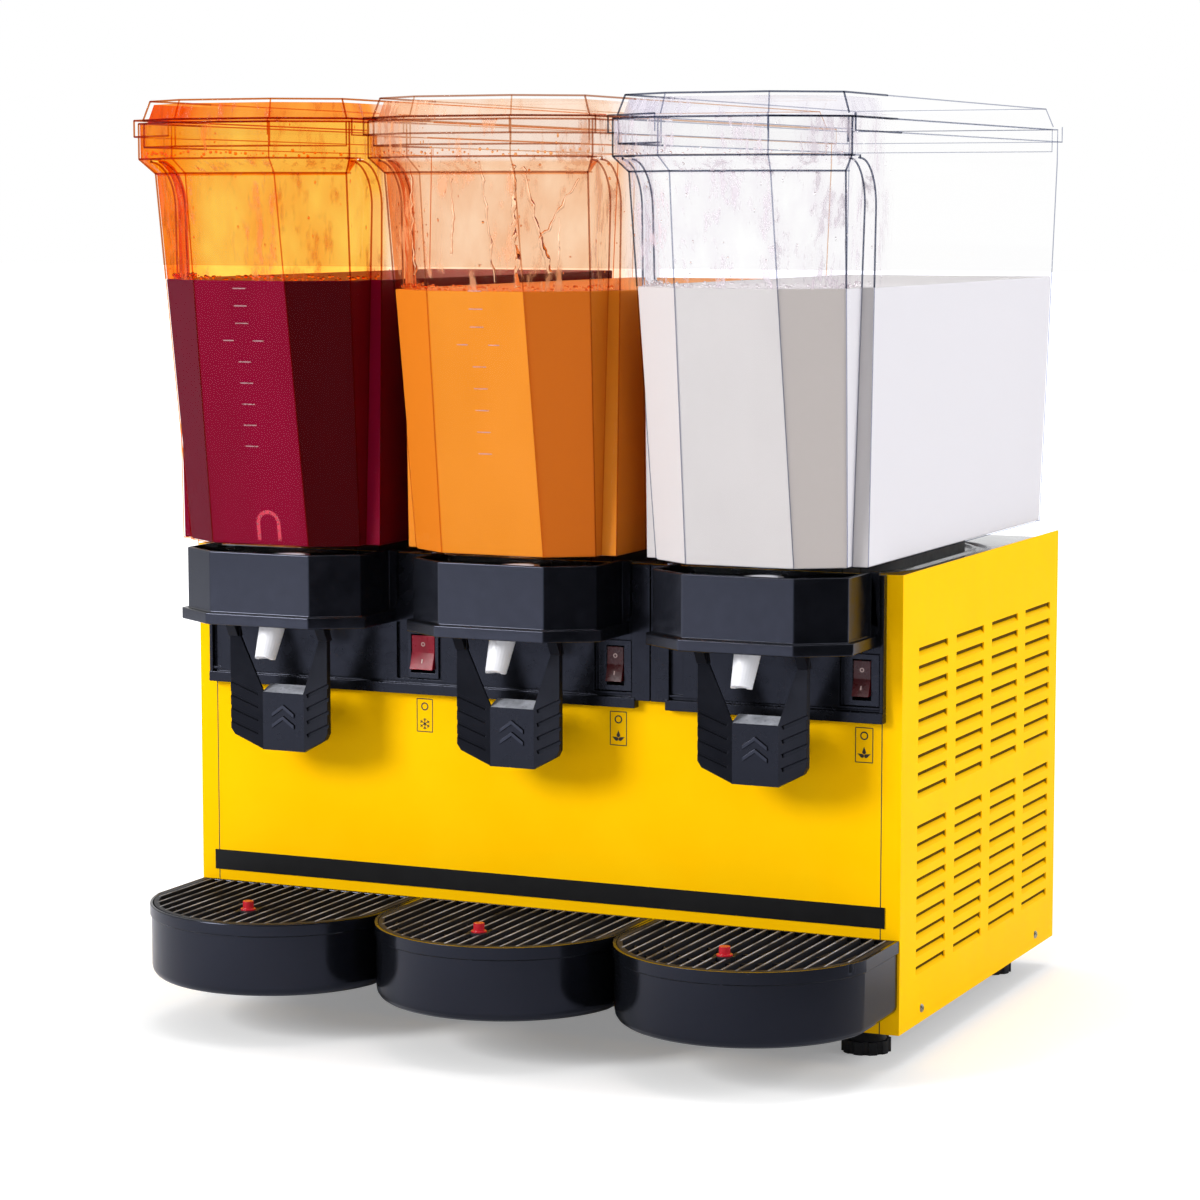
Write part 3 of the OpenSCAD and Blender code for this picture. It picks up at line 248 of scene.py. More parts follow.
# Moulded corners bend light into thin dark lines, tinted by the drink behind, and faint ones elsewhere: painted shade
# on rods
cornerTints = {"sharp": {"left": sheetFinish("polycarbonate_corner_amber", "#D8955C"),
                         "middle": sheetFinish("polycarbonate_corner_peach", "#CFA995"),
                         "right": sheetFinish("polycarbonate_corner_slate", "#8E92A0")},
               "faint": {"left": sheetFinish("polycarbonate_faint_corner_amber", "#F0B070"),
                         "middle": sheetFinish("polycarbonate_faint_corner_peach", "#EAD0BC"),
                         "right": sheetFinish("polycarbonate_faint_corner_slate", "#C6C9D4")}}


# Drinks: clouded juice with slow swirls; painted shade and light tint each facet by the way it faces
def drinkFinish(name, tints, corner, side, left, cloudMm):
    material, tree = newMaterial(name)
    cloud = surfacePattern(tree, cloudMm, 5.0, (1, 1, 0.5))
    normal = addNode(tree, "ShaderNodeTexCoord").outputs["Normal"]
    facing = addNode(tree, "ShaderNodeSeparateXYZ", [normal]).outputs
    slant = addNode(tree, "ShaderNodeMath", [facing["X"], facing["Y"]], operation="MULTIPLY")
    tint = driftTint(tree, cloud, tints)
    # Painted shade and light: facets turned right, those turned left and the right side each take their own tint
    for turned, start, end, other in ((slant, -0.15, -0.4, corner), (slant, 0.15, 0.4, left),
                                      (facing["X"], 0.7, 0.95, side)):
        share = addNode(tree, "ShaderNodeMapRange", [turned, start, end, 0.0, 1.0])
        tint = addNode(tree, "ShaderNodeMix", {"Factor": share, "A": tint, "B": hexColour(other)}, data_type="RGBA")
    return finishMaterial(material, tree, addNode(tree, "ShaderNodeBsdfPrincipled", {
        "Base Color": tint, "Roughness": 0.4, "Specular IOR Level": 0.02}))


cherryDrink = drinkFinish("cherry_drink", ("#6C0420", "#780628"), "#3E0206", "#540410", "#58031A", 70)
orangeDrink = drinkFinish("orange_drink", ("#CE7A1E", "#D68228"), "#C4641A", "#C86E1C", "#CA701C", 80)
milkyDrink = drinkFinish("milky_drink", ("#BCB8B9", "#C3BFC0"), "#B2ABA9", "#D6D4DA", "#C4BFC0", 90)

filmFade = {"over": 45, "rimUnderTop": 31, "rimBlend": 3}  # in mm


# Film of drink on the walls above the level: tinted, with runs and froth in vertical streaks, and it thins out
# towards the rear of the nose
def filmFinish(name, tints, froth, frothShare, streakMm, rimThinning=0.0):
    material, tree = newMaterial(name)
    streak = surfacePattern(tree, streakMm, 5.0, (1, 1, 0.3))
    blotch = surfacePattern(tree, streakMm * 5, 4.0, (1, 1, 0.5))
    both = addNode(tree, "ShaderNodeMath", [streak, blotch], operation="MULTIPLY")
    place = addNode(tree, "ShaderNodeTexCoord").outputs["Object"]
    spot = addNode(tree, "ShaderNodeSeparateXYZ", [place]).outputs
    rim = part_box("middle_tank")[1][2] - filmFade["rimUnderTop"] * mm
    rearward = [spot["Y"], frontY - filmFade["over"] * mm, frontY]
    upward = [spot["Z"], rim, rim + filmFade["rimBlend"] * mm]
    atRim = addNode(tree, "ShaderNodeMapRange", [*upward, 0.0, rimThinning])
    thinning = addNode(tree, "ShaderNodeMapRange", [*rearward, atRim, 1.0])
    most = addNode(tree, "ShaderNodeMapRange", [*rearward, frothShare, 0.0])
    mask = addNode(tree, "ShaderNodeMapRange", [both, 0.27, 0.36, 0.0, most])
    tint = addNode(tree, "ShaderNodeMix", {"Factor": thinning, "A": driftTint(tree, blotch, tints), "B": white},
                   data_type="RGBA")
    relief = addNode(tree, "ShaderNodeBump", {"Height": streak, "Distance": 0.4 * mm, "Strength": 0.6})
    clear = addNode(tree, "ShaderNodeBsdfTransparent", {"Color": tint})
    wet = addNode(tree, "ShaderNodeBsdfPrincipled", {
        "Base Color": hexColour(froth), "Roughness": 0.12, "Normal": relief})
    return finishMaterial(material, tree, addNode(tree, "ShaderNodeMixShader", [mask, clear, wet]))


cherryFilm = filmFinish("cherry_film", ("#FFC650", "#F8A234"), "#DC5A10", 0.45, 6)
cherryLidFilm = filmFinish("cherry_lid_film", ("#FFA840", "#F47C28"), "#D04A10", 0.5, 6)
orangeFilm = filmFinish("orange_film", ("#FCD2AE", "#F0B488"), "#E49A6A", 0.5, 5, 0.45)
orangeLidFilm = filmFinish("orange_lid_film", ("#FFE6D2", "#F8D2B4"), "#EBB48E", 0.5, 5)
milkyFilm = filmFinish("milky_film", ("#FFFFFF", "#F4F0F5"), "#D0C4CE", 0.6, 4)
milkyLidFilm = filmFinish("milky_lid_film", ("#F8F6FA", "#EAE6EE"), "#CFC8D4", 0.55, 5)
print("materials ready:", len(bpy.data.materials))


# Pieces
def linkedObject(name, data):
    thing = bpy.data.objects.new(name, data)
    bpy.context.scene.collection.objects.link(thing)
    return thing


def newPiece(name, mesh, body, material=None):
    piece = linkedObject(name, mesh)
    if material:
        mesh.materials.clear()
        mesh.materials.append(material)
    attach(piece, body)
    return piece


def openMeshes(*meshes):
    bm = bmesh.new()
    for mesh in meshes:
        bm.from_mesh(mesh)
    return bm


def closedMesh(name, bm):
    mesh = bpy.data.meshes.new(name)
    bm.to_mesh(mesh)
    bm.free()
    return mesh


def joinMeshes(name, meshes):
    return closedMesh(name, openMeshes(*meshes))


def meshFrom(name, vertices, faces):
    mesh = bpy.data.meshes.new(name)
    mesh.from_pydata([Vector(v) for v in vertices], [], faces)
    bm = openMeshes(mesh)
    bmesh.ops.remove_doubles(bm, verts=bm.verts, dist=0.01 * mm)
    bmesh.ops.recalc_face_normals(bm, faces=bm.faces)
    return closedMesh(name, bm)


def loftMesh(name, rings):
    count = len(rings[0])
    last = (len(rings) - 1) * count
    faces = [list(range(count))[::-1], [last + i for i in range(count)]]
    for level in range(0, last, count):
        for i in range(count):
            j = (i + 1) % count
            faces.append([level + i, level + j, level + count + j, level + count + i])
    return meshFrom(name, [p for ring in rings for p in ring], faces)


# Flat outlines get a thickness; place is where they lie, with their own X, Y and facing as columns
def plateMesh(name, outline, thickMm, place):
    rings = [[place @ Vector((x * mm, y * mm, z)) for x, y in outline] for z in (0, thickMm * mm)]
    return loftMesh(name, rings)


def circlePoints(radius, sides):
    turns = [2 * math.pi * k / sides for k in range(sides)]
    return [(radius * math.cos(turn), radius * math.sin(turn)) for turn in turns]


def ringMesh(name, radiusMm, widthMm, thickMm, place, sides=32):
    vertices = [place @ (Vector((x, y, z)) * mm) for radius in (radiusMm, radiusMm - widthMm)
                for z in (0, thickMm) for x, y in circlePoints(radius, sides)]
    outer, outerTop, inner, innerTop = (0, sides, 2 * sides, 3 * sides)
    faces = []
    for k in range(sides):
        n = (k + 1) % sides
        faces += [[outer + k, outer + n, outerTop + n, outerTop + k],
                  [inner + n, inner + k, innerTop + k, innerTop + n],
                  [outerTop + k, outerTop + n, innerTop + n, innerTop + k],
                  [outer + n, outer + k, inner + k, inner + n]]
    return meshFrom(name, vertices, faces)


def barOutline(x0, y0, x1, y1, width):
    along = Vector((x1 - x0, y1 - y0)).normalized()
    side = Vector((-along.y, along.x)) * width / 2
    start, end = Vector((x0, y0)), Vector((x1, y1))
    return [tuple(corner) for corner in (start + side, start - side, end - side, end + side)]


def evaluatedMesh(holder):
    made = bpy.data.meshes.new_from_object(holder.evaluated_get(bpy.context.evaluated_depsgraph_get()))
    bpy.data.objects.remove(holder)
    return made


flatShading = {"broadMm2": 100, "sameFacing": 0.87}


# Broad faces keep flat shading, also at a corner where two of them meet without a rounded edge between
def evenShading(mesh):
    bm = openMeshes(mesh)
    for vertex in bm.verts:
        broad = [face.normal for face in vertex.link_faces if face.calc_area() > flatShading["broadMm2"] * mm * mm]
        if any(one.dot(other) < flatShading["sameFacing"] for one in broad for other in broad):
            for edge in vertex.link_edges:
                edge.smooth = False
    holder = linkedObject("shading", closedMesh("shading", bm))
    holder.modifiers.new("even_shading", "WEIGHTED_NORMAL").keep_sharp = True
    return evaluatedMesh(holder)


sharpTurn = math.radians(14)


# Rounds the sharp edges that have room for it
def roundedMesh(mesh, widthMm, segments):
    bm = openMeshes(mesh)
    weight = bm.edges.layers.float.new("bevel_weight_edge")
    for edge in bm.edges:
        if len(edge.link_faces) == 2 and edge.calc_face_angle() > sharpTurn:
            room = min(near.calc_length() for vertex in edge.verts for near in vertex.link_edges)
            edge.smooth = room > 2 * widthMm * mm
            edge[weight] = float(edge.smooth)
    for face in bm.faces:
        face.smooth = True
    holder = linkedObject("rounding", closedMesh("rounding", bm))
    bevel = holder.modifiers.new("edges", "BEVEL")
    bevel.width = widthMm * mm
    bevel.segments = segments
    bevel.limit_method = "WEIGHT"
    return evenShading(evaluatedMesh(holder))


def mergedCopy(node):
    bm = openMeshes(frame["nodes"][node].data)
    bmesh.ops.remove_doubles(bm, verts=bm.verts, dist=0.005 * mm)
    bmesh.ops.dissolve_limit(bm, angle_limit=math.radians(0.4), verts=bm.verts, edges=bm.edges)
    return closedMesh(node + "_dressed", bm)


# A CAD node keeps its own mesh and takes a finish; where its edges show, a rounded copy stands for it
def finishNode(node, material):
    data = frame["nodes"][node].data
    data.materials.clear()
    data.materials.append(material)


def standFor(node, mesh, material):
    piece = newPiece(node + "_dressed", mesh, bodyOfNode[node], material)
    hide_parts(node)
    return piece


def roundNode(node, material, widthMm, segments=2):
    return standFor(node, roundedMesh(mergedCopy(node), widthMm, segments), material)


# Clear mouldings keep crisp faces, and their corners are drawn as lines further down
def crispNode(node, material):
    mesh = mergedCopy(node)
    mesh.shade_smooth()
    mesh.set_sharp_from_angle(angle=sharpTurn)
    standFor(node, mesh, material)


plainNodes = {
    "left_side_panel": yellowPowderCoat, "right_side_panel": yellowPowderCoat, "front_panel": yellowPowderCoat,
    "rear_panel": yellowPowderCoat, "base_pan": galvanised, "top_deck": stainless, "trim_strip": blackFilm,
    "tray_brackets": galvanised, "lever_pins": zincPlate, "evaporators": stainless, "tank_gaskets": greySilicone,
    "pump_covers": whiteAcetal, "pump_motors": greyEnamel, "compressor": blackEnamel, "condenser": finAluminium,
    "fan_unit": blackNylon, "fan_rotor": whiteAcetal,
}
leverFaces = {"plateHalf": 19.5, "ledgeRise": (0.9, 0.97), "ledgeForward": -0.3}
for node, material in plainNodes.items():
    finishNode(node, material)
for node in ("double_fascia", "single_fascia"):
    roundNode(node, satinAbs, 0.48)
roundNode("switch_bezels", blackNylon, 0.4)
roundNode("tap_spouts", whiteAcetal, 0.3)
for bay in bays:
    roundNode(bay + "_collar", blackAbs, 1.2, 3)
    lever = roundNode(bay + "_push_lever", satinAbs, 0.6).data
    # The ledge faces take a pale grey that paints their highlight, the wings the grip finish
    lever.materials.append(paleLedgeHighlight)
    lever.materials.append(gripAbs)
    lowRise, highRise = leverFaces["ledgeRise"]
    for face in lever.polygons:  # the ledge slopes up and back behind the plate
        if face.normal.y < leverFaces["ledgeForward"] and lowRise < face.normal.z < highRise:
            face.material_index = 1
        elif abs(face.center.x - bayX[bay]) > leverFaces["plateHalf"] * mm:
            face.material_index = 2
    roundNode(bay + "_drip_tray", blackPolypropylene, 1.3, 3)
    roundNode(bay + "_drip_grille", blackTextured, 0.5)
    roundNode(bay + "_float", redFloat, 0.2)
    roundNode(bay + "_rocker", redRocker if bay == "left" else darkRocker, 0.4)
    crispNode(bay + "_tank", clearPolycarbonate)
    crispNode(bay + "_lid", clearPolycarbonate)
    finishNode(bay + "_valve_plunger", whiteAcetal)
    finishNode(bay + "_impeller", whiteAcetal)
for foot in ("front_left_foot", "front_right_foot", "rear_left_foot", "rear_right_foot"):
    roundNode(foot, footRubber, 0.8)
print("nodes dressed")

# Inside of a tank at a height above its floor: flat nose, corner facets, side step and rear part
tankInside = {
    "height": 297, "noseLow": (42.5, 75.5, 75), "noseTop": (38.5, 84, 117), "rimNose": (42, 92, 129),
    "facetSlope": 0.68, "stepReach": 43, "rearHalf": (88, 92), "rearReach": (377, 399), "wall": 3,
}


def between(pair, share):
    return pair[0] + (pair[1] - pair[0]) * share


def noseSide(front, half, reach, inset):
    slope = tankInside["facetSlope"]
    front -= inset * (math.sqrt(1 + slope * slope) - 1) / slope
    half -= inset
    return [(front, inset - reach), (half, inset - reach + slope * (half - front))]


def placedRing(bay, right, above):
    ring = right + [(-x, y) for x, y in right[::-1]]
    return [Vector((bayX[bay] + x * mm, frontY + y * mm, floorZ + above * mm)) for x, y in ring]


def tankRing(bay, above, inset):
    shape = tankInside
    share = above / shape["height"]
    right = noseSide(*[between(pair, share) for pair in zip(shape["noseLow"], shape["noseTop"])], inset)
    rear = between(shape["rearHalf"], share) - inset
    back = between(shape["rearReach"], share) - inset
    step = inset - shape["stepReach"]
    return placedRing(bay, right + [(right[1][0], step), (rear, step), (rear, back)], above)


def rimRing(bay, above, inset):
    right = noseSide(*tankInside["rimNose"], inset)
    back = tankInside["rearReach"][1] - inset
    return placedRing(bay, right + [(right[1][0], back)], above)


# Level above the tank's floor in mm, finishes, and the drops and bubbles above it
drinks = {
    "left": {"level": 205, "finish": cherryDrink, "film": cherryFilm, "lidFilm": cherryLidFilm, "seed": 3,
             "bubble": clearFinish("cherry_bubble", "#FFA048", 0.05, 1.2), "drops": 900, "dropMm": 0.9},
    "middle": {"level": 199, "finish": orangeDrink, "film": orangeFilm, "lidFilm": orangeLidFilm, "seed": 5,
               "bubble": clearFinish("orange_bubble", "#F8C088", 0.05, 1.2), "drops": 1800, "dropMm": 1.1},
    "right": {"level": 203, "finish": milkyDrink, "film": milkyFilm, "lidFilm": milkyLidFilm, "seed": 8,
              "bubble": clearFinish("milky_bubble", "#F6F2F4", 0.05, 1.2), "drops": 2600, "dropMm": 1.0},
}
drinkInset = 0.4  # the wall bends light so that the drink seems to fill it
for bay, drink in drinks.items():
    rings = [tankRing(bay, above, drinkInset) for above in (drinkInset, drink["level"])]
    newPiece(bay + "_drink", roundedMesh(loftMesh(bay + "_drink", rings), 1.0, 2), bay + "_tank", drink["finish"])
print("drinks poured")


# A clear moulding's faces that look into the closed tank, or the others
def wallFaces(node, bay, inside):
    walls = BVHTree.FromBMesh(openMeshes(*[frame["nodes"][bay + part].data for part in ("_tank", "_lid")]))
    bm = openMeshes(mergedCopy(node))
    bm.normal_update()
    others = []
    for face in bm.faces:
        middle = face.calc_center_median()
        hidden = walls.ray_cast(middle + face.normal * mm, face.normal)[0] is not None
        inward = face.normal.dot(Vector((bayX[bay], 0, middle.z)) - middle) > 0 or face.normal.z < -0.5
        if (hidden and inward) != inside:
            others.append(face)
    bmesh.ops.delete(bm, geom=others, context="FACES")
    return bm


# Cuts off what lies on the facing side of a plane
def cutAway(bm, place, facing):
    bmesh.ops.bisect_plane(bm, geom=bm.verts[:] + bm.edges[:] + bm.faces[:], plane_co=place, plane_no=facing,
                           clear_outer=True)


# The film lies along the nose's inner faces from the level up
def filmMesh(name, node, bay, level, offsetMm):
    bm = wallFaces(node, bay, True)
    cutAway(bm, (0, 0, floorZ + level * mm), (0, 0, -1))
    cutAway(bm, (0, frontY, 0), (0, 1, 0))
    bm.normal_update()
    for vertex in bm.verts:
        vertex.co += vertex.normal * offsetMm * mm
    return closedMesh(name, bm)


filmLift = {"wall": 0.6 - tankInside["wall"], "lid": 0.15, "drops": 0.15}  # in mm from the inner faces
for bay, drink in drinks.items():
    film = filmMesh(bay + "_film", bay + "_tank", bay, drink["level"], filmLift["wall"])
    newPiece(bay + "_film", film, bay + "_tank", drink["film"])
    rimTop = (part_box(bay + "_tank")[1][2] - floorZ) / mm
    lidFilm = filmMesh(bay + "_lid_film", bay + "_lid", bay, rimTop, filmLift["lid"])
    newPiece(bay + "_lid_film", lidFilm, bay + "_lid", drink["lidFilm"])
print("films laid")


# Geometry Nodes: what repeats or follows a path
def newGroup(name, sockets):
    tree = bpy.data.node_groups.new(name, "GeometryNodeTree")
    tree.interface.new_socket("Geometry", in_out="INPUT", socket_type="NodeSocketGeometry")
    for label, kind in sockets.items():
        tree.interface.new_socket(label, in_out="INPUT", socket_type="NodeSocket" + kind)
    tree.interface.new_socket("Geometry", in_out="OUTPUT", socket_type="NodeSocketGeometry")
    return tree, addNode(tree, "NodeGroupInput").outputs


def endGroup(tree, geometry, material):
    whole = addNode(tree, "GeometryNodeRealizeInstances", [geometry])
    smooth = addNode(tree, "GeometryNodeSetShadeSmooth", {"Geometry": whole})
    dressed = addNode(tree, "GeometryNodeSetMaterial", {"Geometry": smooth, "Material": material})
    addNode(tree, "NodeGroupOutput", {"Geometry": dressed})
    return tree


def grownMesh(tree, base, values):
    holder = linkedObject("grower", base)
    modifier = holder.modifiers.new("grow", "NODES")
    modifier.node_group = tree
    for item in tree.interface.items_tree:
        if item.item_type == "SOCKET" and item.in_out == "INPUT" and item.name in values:
            modifier[item.identifier] = values[item.name]
    return evaluatedMesh(holder)


# Drops: flattened beads scattered over a wall, longer downwards than across
def dropGroup():
    tree, given = newGroup("scattered_drops", {"Density": "Float", "Size": "Float", "Seed": "Int",
                                               "Finish": "Material"})
    points = addNode(tree, "GeometryNodeDistributePointsOnFaces", {
        "Mesh": given["Geometry"], "Density": given["Density"], "Seed": given["Seed"]}).outputs
    bead = addNode(tree, "GeometryNodeMeshUVSphere", {"Segments": 8, "Rings": 5, "Radius": 1.0})
    upright = addNode(tree, "FunctionNodeAxesToRotation", {
        "Primary Axis": points["Normal"], "Secondary Axis": (0, 0, 1)}, primary_axis="Z", secondary_axis="Y")
    chance = addNode(tree, "FunctionNodeRandomValue", {
        "Min": (0.35, 0.4, 0.2), "Max": (1.0, 1.8, 0.4), "Seed": given["Seed"]}, data_type="FLOAT_VECTOR")
    size = addNode(tree, "ShaderNodeVectorMath", {0: chance, "Scale": given["Size"]}, operation="SCALE")
    beads = addNode(tree, "GeometryNodeInstanceOnPoints", {
        "Points": points["Points"], "Instance": bead, "Rotation": upright, "Scale": size})
    return endGroup(tree, beads, given["Finish"])


# Bubbles: a bead line along a path, of uneven size and height
def bubbleGroup():
    tree, given = newGroup("bubble_line", {"Step": "Float", "Size": "Float", "Sway": "Float", "Seed": "Int",
                                           "Finish": "Material"})
    line = addNode(tree, "GeometryNodeMeshToCurve", {"Mesh": given["Geometry"]})
    spots = addNode(tree, "GeometryNodeResampleCurve", {"Curve": line, "Length": given["Step"]}, mode="LENGTH")
    sway = addNode(tree, "FunctionNodeRandomValue", {
        "Min": (-0.3, -0.3, -0.2), "Max": (0.3, 0.3, 1.0), "Seed": given["Seed"]}, data_type="FLOAT_VECTOR")
    shift = addNode(tree, "ShaderNodeVectorMath", {0: sway, "Scale": given["Sway"]}, operation="SCALE")
    moved = addNode(tree, "GeometryNodeSetPosition", {"Geometry": spots, "Offset": shift})
    bead = addNode(tree, "GeometryNodeMeshUVSphere", {"Segments": 8, "Rings": 5, "Radius": 1.0})
    chance = addNode(tree, "FunctionNodeRandomValue", {2: 0.3, 3: 1.0, "Seed": given["Seed"]}, data_type="FLOAT")
    size = addNode(tree, "ShaderNodeMath", [chance, given["Size"]], operation="MULTIPLY")
    beads = addNode(tree, "GeometryNodeInstanceOnPoints", {"Points": moved, "Instance": bead, "Scale": size})
    return endGroup(tree, beads, given["Finish"])


# Runs: wavering tubes of drink that swell and thin along their path
def runGroup():
    tree, given = newGroup("drink_run", {"Radius": "Float", "Waver": "Float", "Finish": "Material"})
    line = addNode(tree, "GeometryNodeMeshToCurve", {"Mesh": given["Geometry"]})
    fine = addNode(tree, "GeometryNodeResampleCurve", {"Curve": line, "Length": 2.5 * mm}, mode="LENGTH")
    place = addNode(tree, "GeometryNodeInputPosition")
    swell = addNode(tree, "ShaderNodeTexNoise", {"Vector": place, "Scale": 90.0, "Detail": 2.0})
    centred = addNode(tree, "ShaderNodeVectorMath", [swell.outputs["Color"], (0.5, 0.5, 0.5)], operation="SUBTRACT")
    shift = addNode(tree, "ShaderNodeVectorMath", {0: centred, "Scale": given["Waver"]}, operation="SCALE")
    moved = addNode(tree, "GeometryNodeSetPosition", {"Geometry": fine, "Offset": shift})
    girth = addNode(tree, "ShaderNodeMapRange", [swell, *patternSpan, 0.35, 1.3])
    profile = addNode(tree, "GeometryNodeCurvePrimitiveCircle", {"Resolution": 6, "Radius": given["Radius"]})
    tube = addNode(tree, "GeometryNodeCurveToMesh", {
        "Curve": moved, "Scale": girth, "Profile Curve": profile, "Fill Caps": True})
    return endGroup(tree, tube, given["Finish"])


# Corner lines: the sharp edges of a clear moulding, drawn as thin rods
def cornerGroup():
    tree, given = newGroup("corner_lines", {"Least": "Float", "Most": "Float", "Radius": "Float",
                                            "Finish": "Material"})
    turn = addNode(tree, "GeometryNodeInputMeshEdgeAngle").outputs["Unsigned Angle"]
    limits = [addNode(tree, "FunctionNodeCompare", [turn, given[limit]], operation="GREATER_THAN")
              for limit in ("Least", "Most")]
    chosen = addNode(tree, "FunctionNodeBooleanMath", limits, operation="NIMPLY")
    lines = addNode(tree, "GeometryNodeMeshToCurve", {"Mesh": given["Geometry"], "Selection": chosen})
    profile = addNode(tree, "GeometryNodeCurvePrimitiveCircle", {"Resolution": 5, "Radius": given["Radius"]})
    rods = addNode(tree, "GeometryNodeCurveToMesh", {"Curve": lines, "Profile Curve": profile, "Fill Caps": True})
    return endGroup(tree, rods, given["Finish"])


drops, bubbles, runs, corners = dropGroup(), bubbleGroup(), runGroup(), cornerGroup()
# Which edges each kind of line follows: part of the moulding, least and most turn in degrees, radius in mm
cornerLines = {
    "sharp": [("nose", 40, 180, 0.75)],
    "faint": [("nose", 16, 40, 0.6), ("behind", 16, 180, 0.5), ("below", 16, 180, 0.4), ("rear", -1, 180, 0.5)],
}
# Ways in which each part is cut off: down and up at the drink's level, forward and back at the front sheet
partCuts = {"nose": [(0, 0, -1), (0, 1, 0)], "behind": [(0, 0, -1), (0, -1, 0)], "below": [(0, 0, 1)]}


# Part of the moulding's outer shell: its nose over the drink's level, what lies behind that, or below the level,
# or only the edges round its rear face
def shellMesh(node, bay, part):
    bm = wallFaces(node, bay, False)
    rear = {face for face in bm.faces if face.normal.y > 0.5}
    if part == "rear":
        others = [edge for edge in bm.edges if len({face in rear for face in edge.link_faces}) != 2]
        bmesh.ops.delete(bm, geom=bm.faces[:], context="FACES_ONLY")
        bmesh.ops.delete(bm, geom=others, context="EDGES")
    else:
        bmesh.ops.delete(bm, geom=list(rear), context="FACES")
        for facing in partCuts[part]:
            cutAway(bm, Vector((0, frontY, floorZ + drinks[bay]["level"] * mm)), facing)
    return closedMesh("shell", bm)


for bay in bays:
    for node in (bay + "_tank", bay + "_lid"):
        for kind, parts in cornerLines.items():
            tint = cornerTints[kind][bay]
            rods = [grownMesh(corners, shellMesh(node, bay, part), {
                "Least": math.radians(least), "Most": math.radians(most), "Radius": radius * mm, "Finish": tint,
            }) for part, least, most, radius in parts]
            newPiece(node + "_" + kind + "_corners", joinMeshes(node + "_corners", rods), node, tint)


def pathMesh(name, points):
    mesh = bpy.data.meshes.new(name)
    mesh.from_pydata(points, [(i, i + 1) for i in range(len(points) - 1)], [])
    return mesh


# A ring without its rear side, from left to right
def frontOf(ring):
    half = len(ring) // 2
    return ring[half + 1:] + ring[:half - 1]


# Bead lines at the drink's level and under the rim, in mm
frothLines = {"level": {"above": 0.6, "step": 2.2, "size": 1.6, "sway": 3.0},
              "rim": {"above": 1.4, "step": 4.5, "size": 1.4, "sway": 4.0}}
frothInset = tankInside["wall"] + 1.9
for bay, drink in drinks.items():
    wetWalls = filmMesh("wet_walls", bay + "_tank", bay, drink["level"], filmLift["drops"])
    beads = grownMesh(drops, wetWalls, {
        "Density": drink["drops"], "Size": drink["dropMm"] * mm, "Seed": drink["seed"],
        "Finish": waterDrop if bay == "right" else drink["bubble"]})
    newPiece(bay + "_drops", beads, bay + "_tank")
    for line, froth in frothLines.items():
        if line == "level":
            ring = tankRing(bay, drink["level"] + froth["above"], frothInset)
        else:
            ring = rimRing(bay, tankInside["height"] + froth["above"], frothInset)
        beads = grownMesh(bubbles, pathMesh("froth_path", frontOf(ring)), {
            "Step": froth["step"] * mm, "Size": froth["size"] * mm, "Sway": froth["sway"] * mm,
            "Seed": drink["seed"], "Finish": drink["bubble"]})
        newPiece(bay + "_" + line + "_froth", beads, bay + "_tank")

# Splashes that run down the middle tank's nose: side of the ring, then share across it and height at each end
splashes = [
    {"side": 9, "start": (0.62, 294), "end": (0.70, 206), "radiusMm": 0.8},
    {"side": 9, "start": (0.30, 280), "end": (0.24, 225), "radiusMm": 0.6},
    {"side": 9, "start": (0.97, 292), "end": (0.93, 204), "radiusMm": 1.5},
    {"side": 0, "start": (0.10, 290), "end": (0.42, 212), "radiusMm": 1.6},
    {"side": 0, "start": (0.95, 282), "end": (0.30, 236), "radiusMm": 0.8},
    {"side": 0, "start": (0.62, 252), "end": (0.58, 204), "radiusMm": 0.7},
    {"side": 8, "start": (0.55, 288), "end": (0.45, 210), "radiusMm": 0.7},
]
splashRun = {"inset": tankInside["wall"] + 2.2, "steps": 8, "swell": 1.4, "waver": 9}


def splashMesh(splash):
    path = []
    for step in range(splashRun["steps"] + 1):
        share, above = [between(ends, step / splashRun["steps"]) for ends in zip(splash["start"], splash["end"])]
        ring = tankRing("middle", above, splashRun["inset"])
        path.append(ring[splash["side"]].lerp(ring[(splash["side"] + 1) % len(ring)], share))
    return grownMesh(runs, pathMesh("run_path", path), {
        "Radius": splashRun["swell"] * splash["radiusMm"] * mm, "Waver": splashRun["waver"] * mm,
        "Finish": waterDrop})


tubes = [splashMesh(splash) for splash in splashes]
newPiece("middle_splashes", joinMeshes("middle_splashes", tubes), "middle_tank", waterDrop)
print("drops, froth and runs grown")


# Moulded marks: frosted, so that they look pale against the drink
def frostedFinish(name, tint, share):
    material, tree = newMaterial(name)
    matt = addNode(tree, "ShaderNodeBsdfPrincipled", {"Base Color": hexColour(tint), "Roughness": 0.5})
    patches = surfacePattern(tree, 3, 3.0)
    clear = addNode(tree, "ShaderNodeBsdfTransparent")
    frost = addNode(tree, "ShaderNodeMapRange", [patches, *patternSpan, share * 0.6, share])
    return finishMaterial(material, tree, addNode(tree, "ShaderNodeMixShader", [frost, clear, matt]))


frostedTick = frostedFinish("frosted_tick", "#D8B0B8", 0.5)
frostedHood = frostedFinish("red_hood", "#D0304C", 0.75)

# Litre marks moulded on the nose: a short tick for each litre and a longer one at every tenth
tickMarks = {"longAbove": 159, "upperStep": 13.3, "lowerStep": 16.3, "upper": 3, "lower": 5,
             "shortMm": 11, "longMm": 9, "numberGapMm": 13, "strokeMm": 0.7, "raisedMm": 0.35}


def noseFrame(bay, above):
    low, high = [tankRing(bay, a, 0)[0] for a in (above - 5, above + 5)]
    up = high - low
    up.x = 0
    up.normalize()
    across = Vector((1, 0, 0))
    spot = Vector((bayX[bay], (low.y + high.y) / 2, floorZ + above * mm))
    return Matrix.Translation(spot) @ Matrix((across, up, across.cross(up))).transposed().to_4x4()


